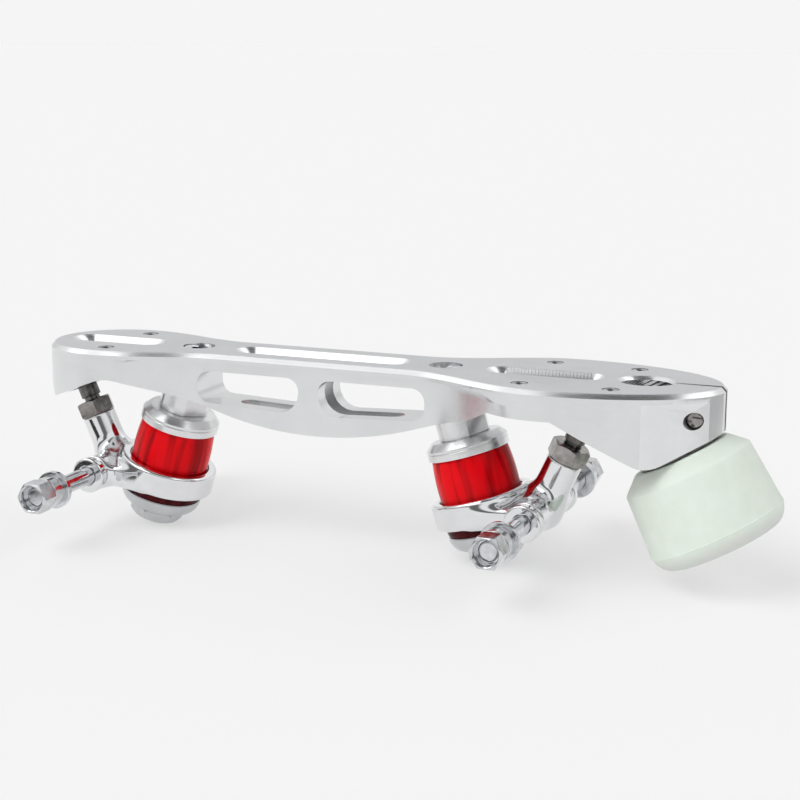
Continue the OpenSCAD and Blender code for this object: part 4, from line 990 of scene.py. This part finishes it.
def sky():
    """A sky of plain level: white at the horizon, with a dark band above it that is grey behind the part, and
    overhead the soft boxes and the panel, with another soft box in front on the left."""
    world = scene.world or bpy.data.worlds.new("studio")
    scene.world = world
    world.use_nodes = True
    tree = world.node_tree
    tree.nodes.clear()
    ray = add(tree, "ShaderNodeTexCoord").outputs["Generated"]
    up = add(tree, "ShaderNodeSeparateXYZ", {"Vector": ray}).outputs["Z"]
    across = add(tree, "ShaderNodeVectorMath", {0: ray, 1: TO_RIGHT}, operation="DOT_PRODUCT")
    across = add(tree, "ShaderNodeMapRange", {"Value": across.outputs["Value"], "From Min": -1.0,
                                              "From Max": 1.0}).outputs["Result"]
    boxes = add(tree, "ShaderNodeValToRGB", {"Fac": across},
                ramp=[(at, grey(level)) for at, level in OVERHEAD])
    ahead = add(tree, "ShaderNodeVectorMath", {0: ray, 1: TO_FRONT}, operation="DOT_PRODUCT")
    front = add(tree, "ShaderNodeMapRange", {"Value": ahead.outputs["Value"], "From Min": 0.1,
                                             "From Max": 0.16})
    left = add(tree, "ShaderNodeMapRange", {"Value": across, "From Min": 0.36, "From Max": 0.33})
    front = add(tree, "ShaderNodeMath", {0: front.outputs["Result"], 1: left.outputs["Result"]},
                operation="MULTIPLY")
    above = add(tree, "ShaderNodeMix", {"Factor": front.outputs[0], 6: boxes.outputs["Color"],
                                        7: grey(FRONT_BOX)}, data_type="RGBA", clamp_result=False)
    over = add(tree, "ShaderNodeMapRange", {"Value": up, "From Min": 0.56, "From Max": 0.7},
               interpolation_type="SMOOTHSTEP")
    level = add(tree, "ShaderNodeMix", {"Factor": over.outputs["Result"], 6: grey(HORIZON),
                                        7: above.outputs[2]}, data_type="RGBA", clamp_result=False)
    bearing = add(tree, "ShaderNodeVectorMath", {0: ray, 1: (1, 1, 0)}, operation="MULTIPLY")
    bearing = add(tree, "ShaderNodeVectorMath", {0: bearing.outputs["Vector"]}, operation="NORMALIZE")
    bearing = add(tree, "ShaderNodeVectorMath", {0: bearing.outputs["Vector"], 1: TO_FRONT},
                  operation="DOT_PRODUCT")
    side = add(tree, "ShaderNodeMapRange", {"Value": bearing.outputs["Value"], "From Min": -0.5,
                                            "From Max": 0.0})
    dark = add(tree, "ShaderNodeMix", {"Factor": side.outputs["Result"], 6: grey(BAND_BEHIND),
                                       7: grey(BAND_FRONT)}, data_type="RGBA")
    low = add(tree, "ShaderNodeMapRange", {"Value": up, "From Min": 0.03, "From Max": 0.09})
    high = add(tree, "ShaderNodeMapRange", {"Value": up, "From Min": 0.36, "From Max": 0.26})
    band = add(tree, "ShaderNodeMath", {0: low.outputs["Result"], 1: high.outputs["Result"]},
               operation="MULTIPLY")
    level = add(tree, "ShaderNodeMix", {"Factor": band.outputs[0], 6: level.outputs[2], 7: dark.outputs[2]},
                data_type="RGBA", clamp_result=False)
    light = add(tree, "ShaderNodeBackground", {"Color": level.outputs[2], "Strength": 1.0})
    add(tree, "ShaderNodeOutputWorld", {"Surface": light.outputs["Background"]})


def key_lamp():
    """A broad soft lamp from the upper left, for the shadows. The soft boxes, and not the lamp, show in
    bright metal."""
    lamp = bpy.data.lights.new("key", "SUN")
    lamp.energy, lamp.angle = LAMP, LAMP_ANGLE
    obj = bpy.data.objects.new("key", lamp)
    obj.rotation_euler = LAMP_FROM.to_track_quat("Z", "Y").to_euler()
    obj.visible_glossy = False
    scene.collection.objects.link(obj)


# The camera, worked out from the plate's edges in the photograph
AZIMUTH, ELEVATION, ROLL = math.radians(22.11), math.radians(11.73), math.radians(0.28)
AIM, DISTANCE, LENS = Vector((0.001875, 0, 0.0573)), 0.63435, 77.3


def camera():
    """The camera at a distance from its aim, turned by its azimuth, elevation and roll."""
    back = Vector((math.sin(AZIMUTH) * math.cos(ELEVATION), -math.cos(AZIMUTH) * math.cos(ELEVATION),
                   math.sin(ELEVATION)))
    right = Vector((math.cos(AZIMUTH), math.sin(AZIMUTH), 0))
    up = back.cross(right)
    right, up = right * math.cos(ROLL) + up * math.sin(ROLL), up * math.cos(ROLL) - right * math.sin(ROLL)
    lens = bpy.data.cameras.new("camera")
    lens.lens, lens.sensor_width = LENS, 36
    obj = bpy.data.objects.new("camera", lens)
    turned = Matrix((right, up, back)).transposed().to_4x4()
    obj.matrix_world = Matrix.Translation(AIM + back * DISTANCE) @ turned
    scene.collection.objects.link(obj)
    scene.camera = obj


floor = pale_floor()
cards = mirrored_cards()
sky()
key_lamp()
camera()
scene.view_settings.view_transform = "Standard"
